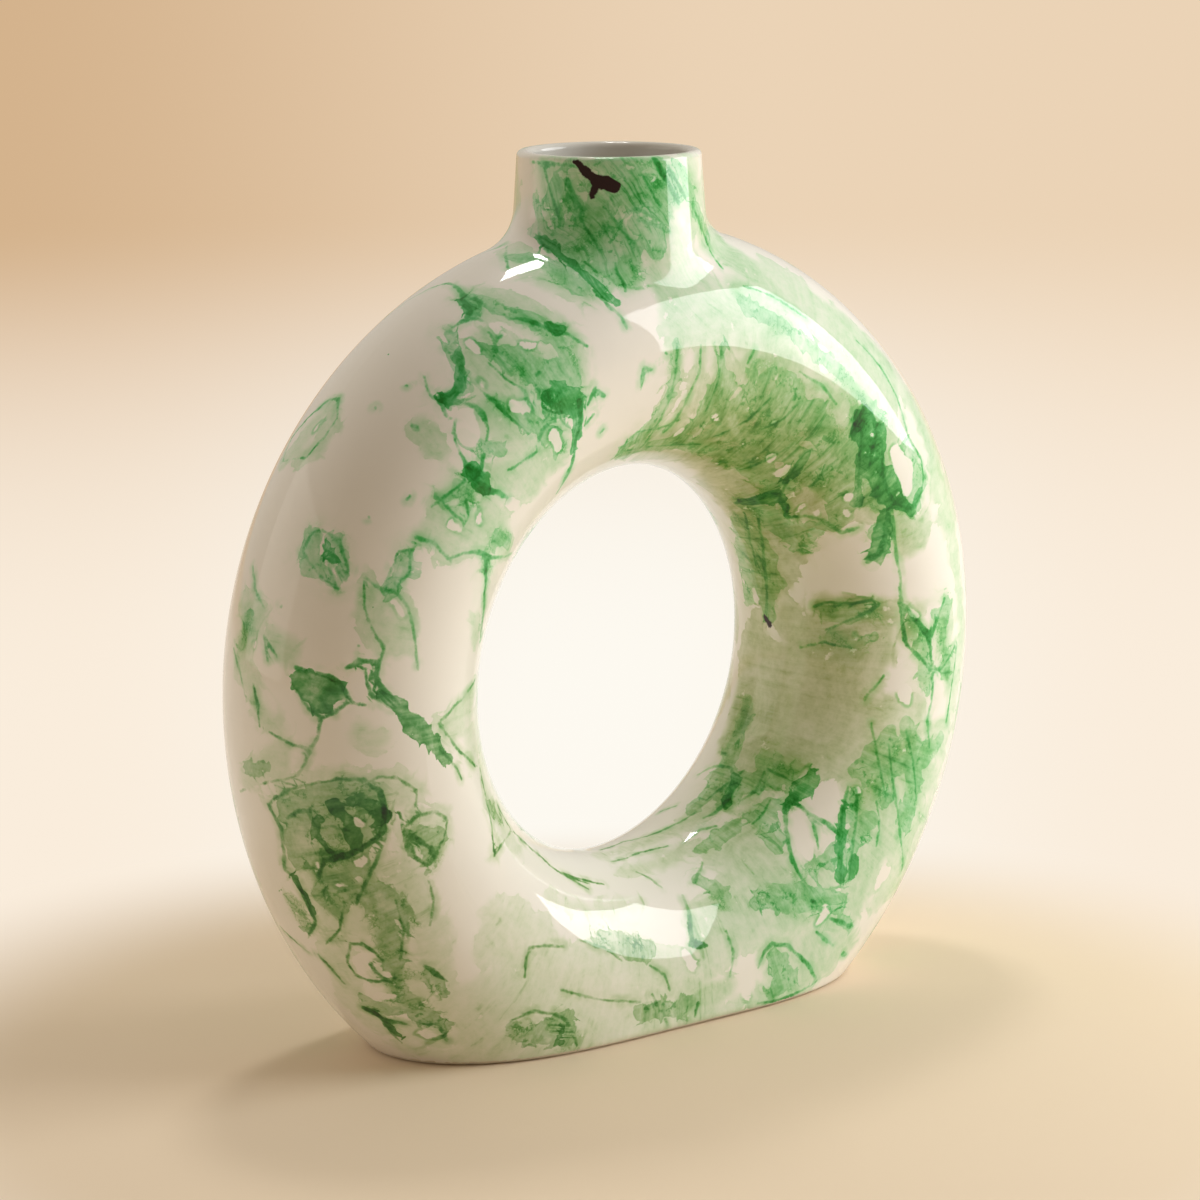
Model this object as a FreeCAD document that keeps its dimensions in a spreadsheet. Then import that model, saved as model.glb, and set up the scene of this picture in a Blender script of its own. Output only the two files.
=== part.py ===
import FreeCAD, Part
import os
import Sketcher

# Donut vase: a hollow pottery ring that stands on edge, with a short neck on its crown.
# Millimetres, +Z up. The ring's hole looks along Y and the front faces -Y.
# The origin is the centre of the foot, on the table.

os.makedirs("parts", exist_ok=True)
doc = FreeCAD.newDocument("donut_vase")

# Dimensions that drive the vase
driving = [
    ("ring_radius", 84.5, "middle of the hole to the middle of the tube"),
    ("tube_radius", 32.3, "outside of the tube's round section"),
    ("wall", 4.0, "thickness of the clay"),
    ("foot_cut", 22.0, "how much of the round ring is flattened away below"),
    ("side_run", 9.8, "middle to where the foot's straight sides start to curve in, on the table"),
    ("foot_thickness", 5.0, "slab that closes the flattened underside"),
    ("foot_edge_radius", 2.5, "rolled lower edge of the foot"),
    ("foot_rim_side", 10.3, "width of the rim that the foot stands on, front and back"),
    ("foot_rim_end", 13.7, "the same rim at the two ends"),
    ("foot_hollow_depth", 0.8, "shallow hollow scraped inside that rim"),
    ("mouth_radius", 20.7, "straight bore of the neck"),
    ("neck_wall", 3.3, "thickness of the neck at the lip"),
    ("neck_spread_share", 0.41, "spread of the neck's taper, as a share of the tube's width beside the lip"),
    ("neck_height", 18.4, "crown of the ring to the top of the lip"),
    ("neck_flare_radius", 14.5, "hollow flare between the neck and the ring"),
    ("lip_edge_share", 0.455, "rounding of each edge of the lip, as a share of the neck's wall"),
    ("seat_margin", 3.6, "round the tube, from the foot of the flare to the collar's edge"),
    ("seat_cone_drop", 20.0, "tip of the cone that trims the collar, below the middle of the tube"),
]
# Dimensions that follow from them
derived = [
    ("hole_height", "=ring_radius + tube_radius - foot_cut", "table to the middle of the hole"),
    ("crown_middle", "=hole_height + ring_radius", "table to the tube's middle at the crown"),
    ("total_height", "=crown_middle + tube_radius + neck_height", "table to the top of the lip"),
    ("water_radius", "=tube_radius - wall", "hollow inside the tube"),
    (
        "lower_shift",
        "=(hole_height ^ 2 + side_run ^ 2 - ring_radius ^ 2) / (2 * (ring_radius - side_run))",
        "how far past the middle the wider lower arcs are struck from",
    ),
    ("outer_arc", "=ring_radius + lower_shift + tube_radius", "radius of the wider lower arcs"),
    ("foot_half_length", "=sqrt(outer_arc ^ 2 - hole_height ^ 2) - lower_shift", "middle to the foot's ends"),
    ("hollow_half_length", "=foot_half_length - foot_rim_end", "hollow under the foot, along"),
    ("hollow_half_width", "=tube_radius - foot_rim_side", "hollow under the foot, across"),
    ("lip_radius", "=mouth_radius + neck_wall", "outside of the neck at the lip"),
    ("neck_spread", "=(tube_radius - lip_radius) * neck_spread_share", "lip to the middle of the tube"),
    ("neck_root_radius", "=lip_radius + neck_spread", "the taper followed down to the tube's middle"),
    ("lip_edge_radius", "=neck_wall * lip_edge_share", "rounding of each edge of the lip"),
    (
        "flare_foot",
        "=asin((neck_root_radius + neck_flare_radius) / (tube_radius + neck_flare_radius))",
        "angle round the tube to the foot of the flare",
    ),
    ("seat_angle", "=flare_foot + seat_margin / tube_radius * 1 rad", "angle to the collar's edge"),
    ("cone_tip", "=crown_middle - seat_cone_drop", "table to the tip of the trimming cone"),
    ("cone_height", "=total_height + neck_height - cone_tip", "the cone runs out above the lip"),
    (
        "cone_slope",
        "=tube_radius * sin(seat_angle) / (tube_radius * cos(seat_angle) + seat_cone_drop)",
        "gain in the cone's radius for its height",
    ),
]
sheet = doc.addObject("Spreadsheet::Sheet", "Dimensions")
for row, (alias, value, note) in enumerate(driving + derived, start=1):
    sheet.set("A%d" % row, alias)
    sheet.set("B%d" % row, str(value))
    sheet.set("C%d" % row, note)
    sheet.setAlias("B%d" % row, alias)
doc.recompute()

quarter_turn = 90.0
half_turn = 180.0
near_share = 0.01


def size(alias):
    """Current value of a dimension on the sheet."""
    return float(sheet.get(alias))


def make(kind, name, **properties):
    """A document object: text ties a property to the sheet, anything else is its value."""
    thing = doc.addObject(kind, name)
    for key, value in properties.items():
        if isinstance(value, str):
            thing.setExpression(key, value)
        else:
            setattr(thing, key, value)
    return thing


def lift(thing, height):
    """Raises an object to a height on the sheet."""
    thing.setExpression("Placement.Base.z", height)
    return thing


def joined(name, *shapes):
    return make("Part::MultiFuse", name, Shapes=list(shapes), Refine=True)


def cut(name, base, tool):
    return make("Part::Cut", name, Base=base, Tool=tool, Refine=True)


def overlap(name, *shapes):
    return make("Part::MultiCommon", name, Shapes=list(shapes), Refine=True)


def room(name, low_x, low_y, low_z, width, height):
    """A block of space: its low corner, its width along X and its height; it is as deep as the vase is tall."""
    block = make("Part::Box", name, Length=width, Width="Dimensions.total_height", Height=height)
    block.setExpression("Placement.Base.x", low_x)
    block.setExpression("Placement.Base.y", low_y)
    return lift(block, low_z)


def tube_section(name, tube):
    """Round section of the tube, drawn level with the hole, beside its axis."""
    sketch = make("Sketcher::SketchObject", name)
    middle = FreeCAD.Vector(size("ring_radius"), 0, 0)
    sketch.addGeometry(Part.Circle(middle, FreeCAD.Vector(0, 0, 1), size("tube_radius")), False)
    sketch.addConstraint(Sketcher.Constraint("PointOnObject", 0, 3, -1))
    across = sketch.addConstraint(Sketcher.Constraint("DistanceX", -1, 1, 0, 3, size("ring_radius")))
    radius = sketch.addConstraint(Sketcher.Constraint("Radius", 0, size("tube_radius")))
    sketch.setExpression("Constraints[%d]" % across, "Dimensions.ring_radius")
    sketch.setExpression("Constraints[%d]" % radius, tube)
    return lift(sketch, "Dimensions.hole_height")


def cheek_section(name, tube, hollow):
    """Flat-sided section from the hole's axis out to the tube's middle.

    It ends round on the far side of the middle, or hollow on the near side, where the hole is.
    """
    sketch = make("Sketcher::SketchObject", name)
    radius = size("tube_radius")
    out = size("ring_radius")
    tip = out - radius if hollow else out + radius
    corners = [FreeCAD.Vector(x, y, 0) for x, y in ((0, -radius), (out, -radius), (out, radius), (0, radius))]
    sketch.addGeometry(Part.LineSegment(corners[0], corners[1]), False)
    sketch.addGeometry(Part.Arc(corners[1], FreeCAD.Vector(tip, 0, 0), corners[2]), False)
    sketch.addGeometry(Part.LineSegment(corners[2], corners[3]), False)
    sketch.addGeometry(Part.LineSegment(corners[3], corners[0]), False)
    # an arc that bends towards the axis is stored with its two ends exchanged
    first, last = (2, 1) if hollow else (1, 2)
    rules = [
        Sketcher.Constraint("Coincident", 0, 2, 1, first),
        Sketcher.Constraint("Coincident", 1, last, 2, 1),
        Sketcher.Constraint("Coincident", 2, 2, 3, 1),
        Sketcher.Constraint("Coincident", 3, 2, 0, 1),
        Sketcher.Constraint("Horizontal", 0),
        Sketcher.Constraint("Horizontal", 2),
        Sketcher.Constraint("Vertical", 3),
        Sketcher.Constraint("PointOnObject", 3, 1, -2),
        Sketcher.Constraint("PointOnObject", 1, 3, -1),
        Sketcher.Constraint("Vertical", 1, 1, 1, 2),
        Sketcher.Constraint("Vertical", 1, 1, 1, 3),
    ]
    sketch.addConstraint(rules)
    across = sketch.addConstraint(Sketcher.Constraint("DistanceX", -1, 1, 1, 3, out))
    bend = sketch.addConstraint(Sketcher.Constraint("Radius", 1, radius))
    sketch.setExpression("Constraints[%d]" % across, "Dimensions.ring_radius")
    sketch.setExpression("Constraints[%d]" % bend, tube)
    return lift(sketch, "Dimensions.hole_height")


def turned(name, section, direction, angle, shift="0 mm"):
    """Turns a section about an axis along Y, level with the hole."""
    solid = make("Part::Revolution", name, Source=section, Axis=FreeCAD.Vector(0, direction, 0), Angle=angle)
    solid.Solid = True
    solid.setExpression("Base.x", shift)
    solid.setExpression("Base.z", "Dimensions.hole_height")
    return solid


def standing_ring(name, tube):
    """The ring down to the table for one radius of tube: the outside of the clay, or the space in it.

    Above the middle of the hole it is a plain round ring. Below, its outline is struck with two
    wider arcs, so the clay spreads towards the foot, and flat cheeks fill in beside the tube.
    """
    upper = turned(name + "_upper", tube_section(name + "_section", tube), -1, half_turn)
    side_section = cheek_section(name + "_side_section", tube, False)
    side = turned(name + "_side", side_section, 1, quarter_turn, "-Dimensions.lower_shift")
    quarter = room(
        name + "_quarter",
        "0 mm",
        "-Dimensions.total_height / 2",
        "0 mm",
        "Dimensions.total_height",
        "Dimensions.hole_height",
    )
    right = overlap(name + "_lower_right", side, quarter)
    left = make("Part::Mirroring", name + "_lower_left", Source=right, Normal=FreeCAD.Vector(1, 0, 0))
    hole_section = cheek_section(name + "_hole_section", tube, True)
    hole = turned(name + "_hole", hole_section, 1, half_turn)
    lower = cut(name + "_lower", joined(name + "_lower_sides", right, left), hole)
    return upper, joined(name, upper, lower)


outside_upper, outside = standing_ring("outside", "Dimensions.tube_radius")
water_upper, water_space = standing_ring("water_space", "Dimensions.water_radius")
clay_ring = cut("clay_ring", outside, water_space)

# Room for the collar of the neck: a cone about the crown, through the whole wall of the tube
trimming_cone = make(
    "Part::Cone",
    "trimming_cone",
    Radius1="0 mm",
    Radius2="Dimensions.cone_slope * Dimensions.cone_height",
    Height="Dimensions.cone_height",
)
lift(trimming_cone, "Dimensions.cone_tip")
collar_room = cut("collar_room", trimming_cone, water_upper)


def shell(name, low_y):
    """Half of the ring, pressed in a mould and joined to the other half on the middle plane."""
    half = room(
        name + "_half",
        "-Dimensions.total_height",
        low_y,
        "Dimensions.foot_thickness",
        "2 * Dimensions.total_height",
        "Dimensions.total_height",
    )
    return cut(name, overlap(name + "_pressed", clay_ring, half), collar_room)


front_shell = shell("front_shell", "-Dimensions.total_height")
back_shell = shell("back_shell", "0 mm")


def body_from(name, blank):
    """A body that goes on from a blank."""
    body = doc.addObject("PartDesign::Body", name)
    body.BaseFeature = blank
    doc.recompute()
    return body


def rounded(body, name, wanted, radius):
    """Rounds the edges of a body that are wanted."""
    base = body.Tip
    edges = ["Edge%d" % number for number, edge in enumerate(base.Shape.Edges, start=1) if wanted(edge)]
    if not edges:
        raise RuntimeError("%s finds no edge" % name)
    feature = body.newObject("PartDesign::Fillet", name)
    feature.Base = (base, edges)
    feature.setExpression("Radius", radius)
    doc.recompute()


def level_sketch(body, name, height):
    """A sketch on the body's level plane, raised to a height."""
    plane = next(item for item in body.Origin.OriginFeatures if item.Role == "XY_Plane")
    sketch = body.newObject("Sketcher::SketchObject", name)
    sketch.AttachmentSupport = [(plane, "")]
    sketch.MapMode = "FlatFace"
    sketch.setExpression("AttachmentOffset.Base.z", height)
    return sketch


def pocket(body, name, sketch, depth, upwards):
    """Cuts a sketch's outline into a body and makes sure that clay came away."""
    before = body.Tip.Shape.Volume
    feature = body.newObject("PartDesign::Pocket", name)
    feature.Profile = sketch
    feature.Reversed = upwards
    feature.setExpression("Length", depth)
    doc.recompute()
    if feature.Shape.Volume >= before:
        raise RuntimeError("%s cuts nothing" % name)


# Foot: a slab cut to the outline of the flattened underside, with a rolled lower edge
foot_layer = room(
    "foot_layer",
    "-Dimensions.total_height",
    "-Dimensions.total_height / 2",
    "0 mm",
    "2 * Dimensions.total_height",
    "Dimensions.foot_thickness",
)
foot = body_from("foot", overlap("foot_blank", outside, foot_layer))


def on_table(edge):
    return all(abs(vertex.Z) < size("wall") * near_share for vertex in edge.Vertexes)


rounded(foot, "foot_rolled_edge", on_table, "Dimensions.foot_edge_radius")

# Shallow oval hollow under the foot, so that it stands on its rim
hollow_outline = level_sketch(foot, "foot_hollow_outline", "0 mm")
half_length = size("hollow_half_length")
half_width = size("hollow_half_width")
long_end = FreeCAD.Vector(half_length, 0, 0)
short_end = FreeCAD.Vector(0, half_width, 0)
hollow_outline.addGeometry(Part.Ellipse(long_end, short_end, FreeCAD.Vector(0, 0, 0)), False)
# the ellipse, 0, gets lines along its long axis, 1, and its short axis, 2
hollow_outline.exposeInternalGeometry(0)
hollow_outline.addConstraint(Sketcher.Constraint("Coincident", 0, 3, -1, 1))
hollow_outline.addConstraint(Sketcher.Constraint("Horizontal", 1))
along = hollow_outline.addConstraint(Sketcher.Constraint("DistanceX", -1, 1, 1, 1, half_length))
across = hollow_outline.addConstraint(Sketcher.Constraint("DistanceY", -1, 1, 2, 1, half_width))
hollow_outline.setExpression("Constraints[%d]" % along, "Dimensions.hollow_half_length")
hollow_outline.setExpression("Constraints[%d]" % across, "Dimensions.hollow_half_width")
pocket(foot, "foot_hollow", hollow_outline, "Dimensions.foot_hollow_depth", True)

# Neck: a tapering collar that flares into the surface of the ring
neck_taper = make(
    "Part::Cone",
    "neck_taper",
    Radius1="Dimensions.neck_root_radius",
    Radius2="Dimensions.lip_radius",
    Height="Dimensions.total_height - Dimensions.crown_middle",
)
lift(neck_taper, "Dimensions.crown_middle")
neck_body = body_from("neck_thrown", joined("neck_blank", outside_upper, neck_taper))


def reach(point):
    """Distance of a point from the upright axis."""
    return (point.x ** 2 + point.y ** 2) ** 0.5


def at_neck_root(edge):
    """The line where the taper meets the ring: on the taper, above the tube's middle, below the lip."""
    low = size("crown_middle")
    high = size("total_height")
    near = size("wall") * near_share
    for point in [vertex.Point for vertex in edge.Vertexes]:
        along_taper = (point.z - low) / (high - low)
        radius = size("neck_root_radius") - size("neck_spread") * along_taper
        if abs(reach(point) - radius) > near or not near_share < along_taper < 1 - near_share:
            return False
    return len(edge.Vertexes) > 1


def at_lip(radius):
    """Chooses the round edge of a radius at the top of the lip."""
    near = size("wall") * near_share

    def wanted(edge):
        points = [vertex.Point for vertex in edge.Vertexes]
        level = all(abs(point.z - size("total_height")) < near for point in points)
        return level and all(abs(reach(point) - radius) < near for point in points)

    return wanted


rounded(neck_body, "neck_flare", at_neck_root, "Dimensions.neck_flare_radius")
rounded(neck_body, "lip_outer_edge", at_lip(size("lip_radius")), "Dimensions.lip_edge_radius")
mouth_outline = level_sketch(neck_body, "mouth_outline", "Dimensions.total_height")
mouth_circle = Part.Circle(FreeCAD.Vector(0, 0, 0), FreeCAD.Vector(0, 0, 1), size("mouth_radius"))
mouth_outline.addGeometry(mouth_circle, False)
mouth_outline.addConstraint(Sketcher.Constraint("Coincident", 0, 3, -1, 1))
bend = mouth_outline.addConstraint(Sketcher.Constraint("Radius", 0, size("mouth_radius")))
mouth_outline.setExpression("Constraints[%d]" % bend, "Dimensions.mouth_radius")
pocket(neck_body, "mouth_bore", mouth_outline, "Dimensions.total_height - Dimensions.crown_middle", False)
rounded(neck_body, "lip_inner_edge", at_lip(size("mouth_radius")), "Dimensions.lip_edge_radius")
neck = overlap("neck", neck_body, collar_room)

doc.recompute()

# Every object has to be sound before the sub-parts are written out
for thing in doc.Objects:
    if "Invalid" in thing.State or "Error" in thing.State:
        raise RuntimeError("%s is %s" % (thing.Name, thing.State))
for part in (front_shell, back_shell, foot, neck):
    shape = part.Shape
    if shape.isNull() or not shape.isValid() or len(shape.Solids) != 1:
        raise RuntimeError("%s is not one sound solid" % part.Label)
    shape.exportStep("parts/%s.step" % part.Label)
    print(part.Label, "volume", round(shape.Volume), "faces", len(shape.Faces))
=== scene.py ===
"""Donut vase: a glazed hollow ring on edge, with a short flared neck, in marbled green on cream white."""

import math

import bmesh
import bpy
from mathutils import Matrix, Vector, noise
from mathutils.bvhtree import BVHTree
from mathutils.geometry import barycentric_transform
import numpy as np


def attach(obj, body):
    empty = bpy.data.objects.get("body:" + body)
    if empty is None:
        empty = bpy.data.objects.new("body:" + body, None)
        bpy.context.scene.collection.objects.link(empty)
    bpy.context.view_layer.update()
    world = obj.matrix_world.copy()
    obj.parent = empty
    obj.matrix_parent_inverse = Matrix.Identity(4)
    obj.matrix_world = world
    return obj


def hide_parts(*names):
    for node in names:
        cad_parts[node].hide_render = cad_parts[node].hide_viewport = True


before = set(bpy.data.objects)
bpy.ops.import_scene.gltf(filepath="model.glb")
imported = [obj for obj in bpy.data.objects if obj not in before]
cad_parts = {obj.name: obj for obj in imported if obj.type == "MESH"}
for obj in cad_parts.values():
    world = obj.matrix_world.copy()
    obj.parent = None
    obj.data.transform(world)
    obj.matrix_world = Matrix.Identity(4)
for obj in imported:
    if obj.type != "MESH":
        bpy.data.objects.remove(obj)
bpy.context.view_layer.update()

mm = 0.001

# Sizes of the ring, the same as in the solids
ring_radius = 84.5 * mm
tube_radius = 32.3 * mm
wall = 4.0 * mm
foot_cut = 22.0 * mm
side_run = 9.8 * mm
foot_thickness = 5.0 * mm
hole_height = ring_radius + tube_radius - foot_cut
crown_middle = hole_height + ring_radius
lower_shift = (hole_height**2 + side_run**2 - ring_radius**2) / (2 * (ring_radius - side_run))
collar_cone_drop = 20.0 * mm
collar_cone_slope = 0.976

# The camera, in the photograph's frame of 1200 by 1200 pixels
picture_side = 1200
focal_pixels = 4052
camera_azimuth = math.radians(-38.036)
camera_elevation = math.radians(11.533)
camera_roll = math.radians(-0.369)
camera_distance = 1.0725
camera_target = Vector((-0.00394, 0, 0.1111))

away = Vector(
    (
        math.sin(camera_azimuth) * math.cos(camera_elevation),
        -math.cos(camera_azimuth) * math.cos(camera_elevation),
        math.sin(camera_elevation),
    )
)
eye = camera_target + away * camera_distance
level_right = (-away).cross(Vector((0, 0, 1))).normalized()
level_up = level_right.cross(-away)
camera_right = level_right * math.cos(camera_roll) + level_up * math.sin(camera_roll)
camera_up = level_up * math.cos(camera_roll) - level_right * math.sin(camera_roll)


def place_camera():
    """The camera at the photograph's viewing angle."""
    lens = bpy.data.cameras.new("camera")
    lens.sensor_width = 36
    lens.lens = lens.sensor_width * focal_pixels / picture_side
    camera = bpy.data.objects.new("camera", lens)
    bpy.context.scene.collection.objects.link(camera)
    turn = camera.matrix_world.to_3x3()
    turn.col[0], turn.col[1], turn.col[2] = camera_right, camera_up, away
    camera.matrix_world = turn.to_4x4()
    camera.location = eye
    bpy.context.scene.camera = camera


place_camera()


# Wires: values that run through a node tree, so that a rule can be written as a sum
class Wire:
    """A value in a node tree. Arithmetic with it adds the nodes for it."""

    def __init__(self, tree, socket):
        self.tree = tree
        self.socket = socket

    def __add__(self, other):
        return work(self.tree, "ADD", self, other)

    def __radd__(self, other):
        return work(self.tree, "ADD", other, self)

    def __sub__(self, other):
        return work(self.tree, "SUBTRACT", self, other)

    def __rsub__(self, other):
        return work(self.tree, "SUBTRACT", other, self)

    def __mul__(self, other):
        return work(self.tree, "MULTIPLY", self, other)

    def __truediv__(self, other):
        return work(self.tree, "DIVIDE", self, other)

    def __neg__(self):
        return work(self.tree, "MULTIPLY", self, -1)


def plug(tree, socket, value):
    """Links a wire to a socket, or sets the socket to a plain value."""
    if isinstance(value, Wire):
        tree.links.new(value.socket, socket)
    else:
        socket.default_value = value


def work(tree, operation, *values):
    """One step of arithmetic."""
    node = tree.nodes.new("ShaderNodeMath")
    node.operation = operation
    for socket, value in zip(node.inputs, values):
        plug(tree, socket, value)
    return Wire(tree, node.outputs[0])


def sine(value):
    return work(value.tree, "SINE", value)


def cosine(value):
    return work(value.tree, "COSINE", value)


def lesser(value, other):
    return work(value.tree, "MINIMUM", value, other)


def greater(value, other):
    return work(value.tree, "MAXIMUM", value, other)


def to_vector(tree, x, y, z):
    node = tree.nodes.new("ShaderNodeCombineXYZ")
    for socket, value in zip(node.inputs, (x, y, z)):
        plug(tree, socket, value)
    return Wire(tree, node.outputs[0])


def to_numbers(vector):
    node = vector.tree.nodes.new("ShaderNodeSeparateXYZ")
    plug(vector.tree, node.inputs[0], vector)
    return [Wire(vector.tree, socket) for socket in node.outputs]


def vector_work(tree, operation, *values, scale=None):
    """One step of vector arithmetic."""
    node = tree.nodes.new("ShaderNodeVectorMath")
    node.operation = operation
    for socket, value in zip(node.inputs, values):
        plug(tree, socket, value)
    if scale is not None:
        plug(tree, node.inputs["Scale"], scale)
    number = operation in ("LENGTH", "DISTANCE", "DOT_PRODUCT")
    return Wire(tree, node.outputs["Value" if number else "Vector"])


def fade(value, low, high):
    """A soft step: 0 where the value is at low or past it, 1 at high. Low may be the larger."""
    node = value.tree.nodes.new("ShaderNodeMapRange")
    node.interpolation_type = "SMOOTHSTEP"
    plug(value.tree, node.inputs["Value"], value)
    if low < high:
        spans = (low, high, 0, 1)
    else:
        spans = (high, low, 1, 0)
    for key, number in zip(("From Min", "From Max", "To Min", "To Max"), spans):
        node.inputs[key].default_value = number
    return Wire(value.tree, node.outputs["Result"])


# The ring's half shells: their skin follows a rule, so a node tree makes it
upper_steps = 264
tube_steps = 84
lower_steps = 220
arc_steps = 84
cheek_steps = 10
weld_gap = 0.01 * mm

# Points of a mesh that lie nearer than this are one point
same_point = 0.001 * mm

# The cone that cuts the collar's room out of the shells
cone_height = 80 * mm
cone_steps = 360

# How finely the neck and the foot are divided for the brush marks
neck_detail = 1.4 * mm
foot_detail = 4.0 * mm
most_divisions = 4

# Exact normals are taken this near a solid, from faces that look the same way
solid_is_near = 0.4 * mm
same_way = 0.8
corner_inset = 0.12


def ring_skin_tree():
    """Outside of one half of the standing ring, from its named sizes."""
    tree = bpy.data.node_groups.new("ring_skin", "GeometryNodeTree")
    sizes = (
        ("Ring radius", ring_radius),
        ("Tube radius", tube_radius),
        ("Hole height", hole_height),
        ("Lower shift", lower_shift),
        ("Foot thickness", foot_thickness),
        ("Side", -1.0),
    )
    for label, value in sizes:
        socket = tree.interface.new_socket(label, in_out="INPUT", socket_type="NodeSocketFloat")
        socket.default_value = value
    counts = (
        ("Steps over the crown", upper_steps),
        ("Steps round the tube", tube_steps),
        ("Steps under the hole", lower_steps),
        ("Steps down an arc", arc_steps),
        ("Steps across a cheek", cheek_steps),
    )
    for label, value in counts:
        socket = tree.interface.new_socket(label, in_out="INPUT", socket_type="NodeSocketInt")
        socket.default_value = value
    tree.interface.new_socket("Glaze", in_out="INPUT", socket_type="NodeSocketMaterial")
    tree.interface.new_socket("Skin", in_out="OUTPUT", socket_type="NodeSocketGeometry")
    entry = tree.nodes.new("NodeGroupInput")
    given = {socket.name: Wire(tree, socket) for socket in entry.outputs if socket.name}
    ring, tube, height = given["Ring radius"], given["Tube radius"], given["Hole height"]
    shift, low, side = given["Lower shift"], given["Foot thickness"], given["Side"]

    def patch(steps_along, steps_across, place):
        """A grid with its points placed by a rule, where along and across run from 0 to 1."""
        grid = tree.nodes.new("GeometryNodeMeshGrid")
        plug(tree, grid.inputs["Vertices X"], steps_along + 1)
        plug(tree, grid.inputs["Vertices Y"], steps_across + 1)
        grid.inputs["Size X"].default_value = 1
        grid.inputs["Size Y"].default_value = 1
        where = Wire(tree, tree.nodes.new("GeometryNodeInputPosition").outputs[0])
        x, y, _ = to_numbers(where)
        move = tree.nodes.new("GeometryNodeSetPosition")
        tree.links.new(grid.outputs["Mesh"], move.inputs["Geometry"])
        plug(tree, move.inputs["Position"], to_vector(tree, *place(x + 0.5, y + 0.5)))
        return move.outputs["Geometry"]

    def on_tube(reach, turn, round_tube):
        """A point of the tube: reach from the hole's axis to its middle line, the turn about it."""
        out = reach + tube * cosine(round_tube)
        return out * cosine(turn), side * tube * sine(round_tube), height + out * sine(turn)

    def over_crown(along, across):
        return on_tube(ring, along * math.pi, across * math.pi)

    def round_hole(along, across):
        return on_tube(ring, along * math.pi + math.pi, across * (math.pi / 2) + math.pi / 2)

    def arc_end(reach):
        """How far down a wide arc runs before it meets the top of the foot."""
        return work(tree, "ARCSINE", (height - low) / reach)

    def left_arc(along, across):
        round_tube = across * (math.pi / 2)
        reach = ring + shift + tube * cosine(round_tube)
        turn = along * arc_end(reach) + math.pi
        x, y, z = on_tube(ring + shift, turn, round_tube)
        return x + shift, y, z

    def right_arc(along, across):
        round_tube = across * (math.pi / 2)
        reach = ring + shift + tube * cosine(round_tube)
        turn = (along - 1) * arc_end(reach)
        x, y, z = on_tube(ring + shift, turn, round_tube)
        return x - shift, y, z

    arc_share = given["Steps down an arc"] / given["Steps under the hole"]

    def cheek(along, across):
        """Flat clay between the hole's middle line and the wide arcs, down to the foot."""
        reach = ring + shift
        end = arc_end(reach)
        from_end = lesser(along, 1 - along) / arc_share
        on_arc = lesser(from_end, 1)
        turn = on_arc * end
        hand = work(tree, "SIGN", along - 0.5)
        arc_x = hand * (reach * cosine(turn) - shift)
        level = lesser(greater((along - 0.5) / (0.5 - arc_share), -1), 1)
        level_x = level * (reach * cosine(end) - shift)
        past = work(tree, "GREATER_THAN", from_end, 1)
        outer_x = arc_x * (1 - past) + level_x * past
        outer_z = height - reach * sine(turn)
        turn_in = along * math.pi + math.pi
        inner_x, inner_z = ring * cosine(turn_in), height + ring * sine(turn_in)
        x = outer_x * (1 - across) + inner_x * across
        z = outer_z * (1 - across) + inner_z * across
        return x, side * tube, z

    half_tube = given["Steps round the tube"] / 2
    patches = [
        patch(given["Steps over the crown"], given["Steps round the tube"], over_crown),
        patch(given["Steps under the hole"], half_tube, round_hole),
        patch(given["Steps down an arc"], half_tube, left_arc),
        patch(given["Steps down an arc"], half_tube, right_arc),
        patch(given["Steps under the hole"], given["Steps across a cheek"], cheek),
    ]
    together = tree.nodes.new("GeometryNodeJoinGeometry")
    for made in patches:
        tree.links.new(made, together.inputs[0])
    merge = tree.nodes.new("GeometryNodeMergeByDistance")
    merge.inputs["Distance"].default_value = weld_gap
    tree.links.new(together.outputs[0], merge.inputs["Geometry"])
    real = tree.nodes.new("GeometryNodeRealizeInstances")
    tree.links.new(merge.outputs[0], real.inputs[0])
    coat = tree.nodes.new("GeometryNodeSetMaterial")
    tree.links.new(real.outputs[0], coat.inputs["Geometry"])
    plug(tree, coat.inputs["Material"], given["Glaze"])
    leave = tree.nodes.new("NodeGroupOutput")
    tree.links.new(coat.outputs[0], leave.inputs[0])
    return tree


def set_inputs(modifier, **values):
    """Sets a node modifier's inputs by their sockets' identifiers."""
    for item in modifier.node_group.interface.items_tree:
        if item.item_type == "SOCKET" and item.in_out == "INPUT":
            key = item.name.lower().replace(" ", "_")
            if key in values:
                modifier[item.identifier] = values[key]


def new_object(name, mesh):
    thing = bpy.data.objects.new(name, mesh)
    bpy.context.scene.collection.objects.link(thing)
    return thing


def settled(thing):
    """The object's mesh with its modifiers worked in."""
    bpy.context.view_layer.update()
    graph = bpy.context.evaluated_depsgraph_get()
    mesh = bpy.data.meshes.new_from_object(thing.evaluated_get(graph))
    thing.modifiers.clear()
    thing.data = mesh
    return mesh


def collar_cutter():
    """The cone that the neck's collar is trimmed to."""
    mesh = bpy.data.meshes.new("collar_cutter")
    edit = bmesh.new()
    bmesh.ops.create_cone(
        edit,
        segments=cone_steps,
        radius1=0,
        radius2=cone_height * collar_cone_slope,
        depth=cone_height,
        cap_ends=True,
    )
    bmesh.ops.remove_doubles(edit, verts=edit.verts, dist=same_point)
    tip = crown_middle - collar_cone_drop
    bmesh.ops.translate(edit, verts=edit.verts, vec=(0, 0, tip + cone_height / 2))
    bmesh.ops.recalc_face_normals(edit, faces=edit.faces)
    edit.to_mesh(mesh)
    edit.free()
    return new_object("collar_cutter", mesh)


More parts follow.
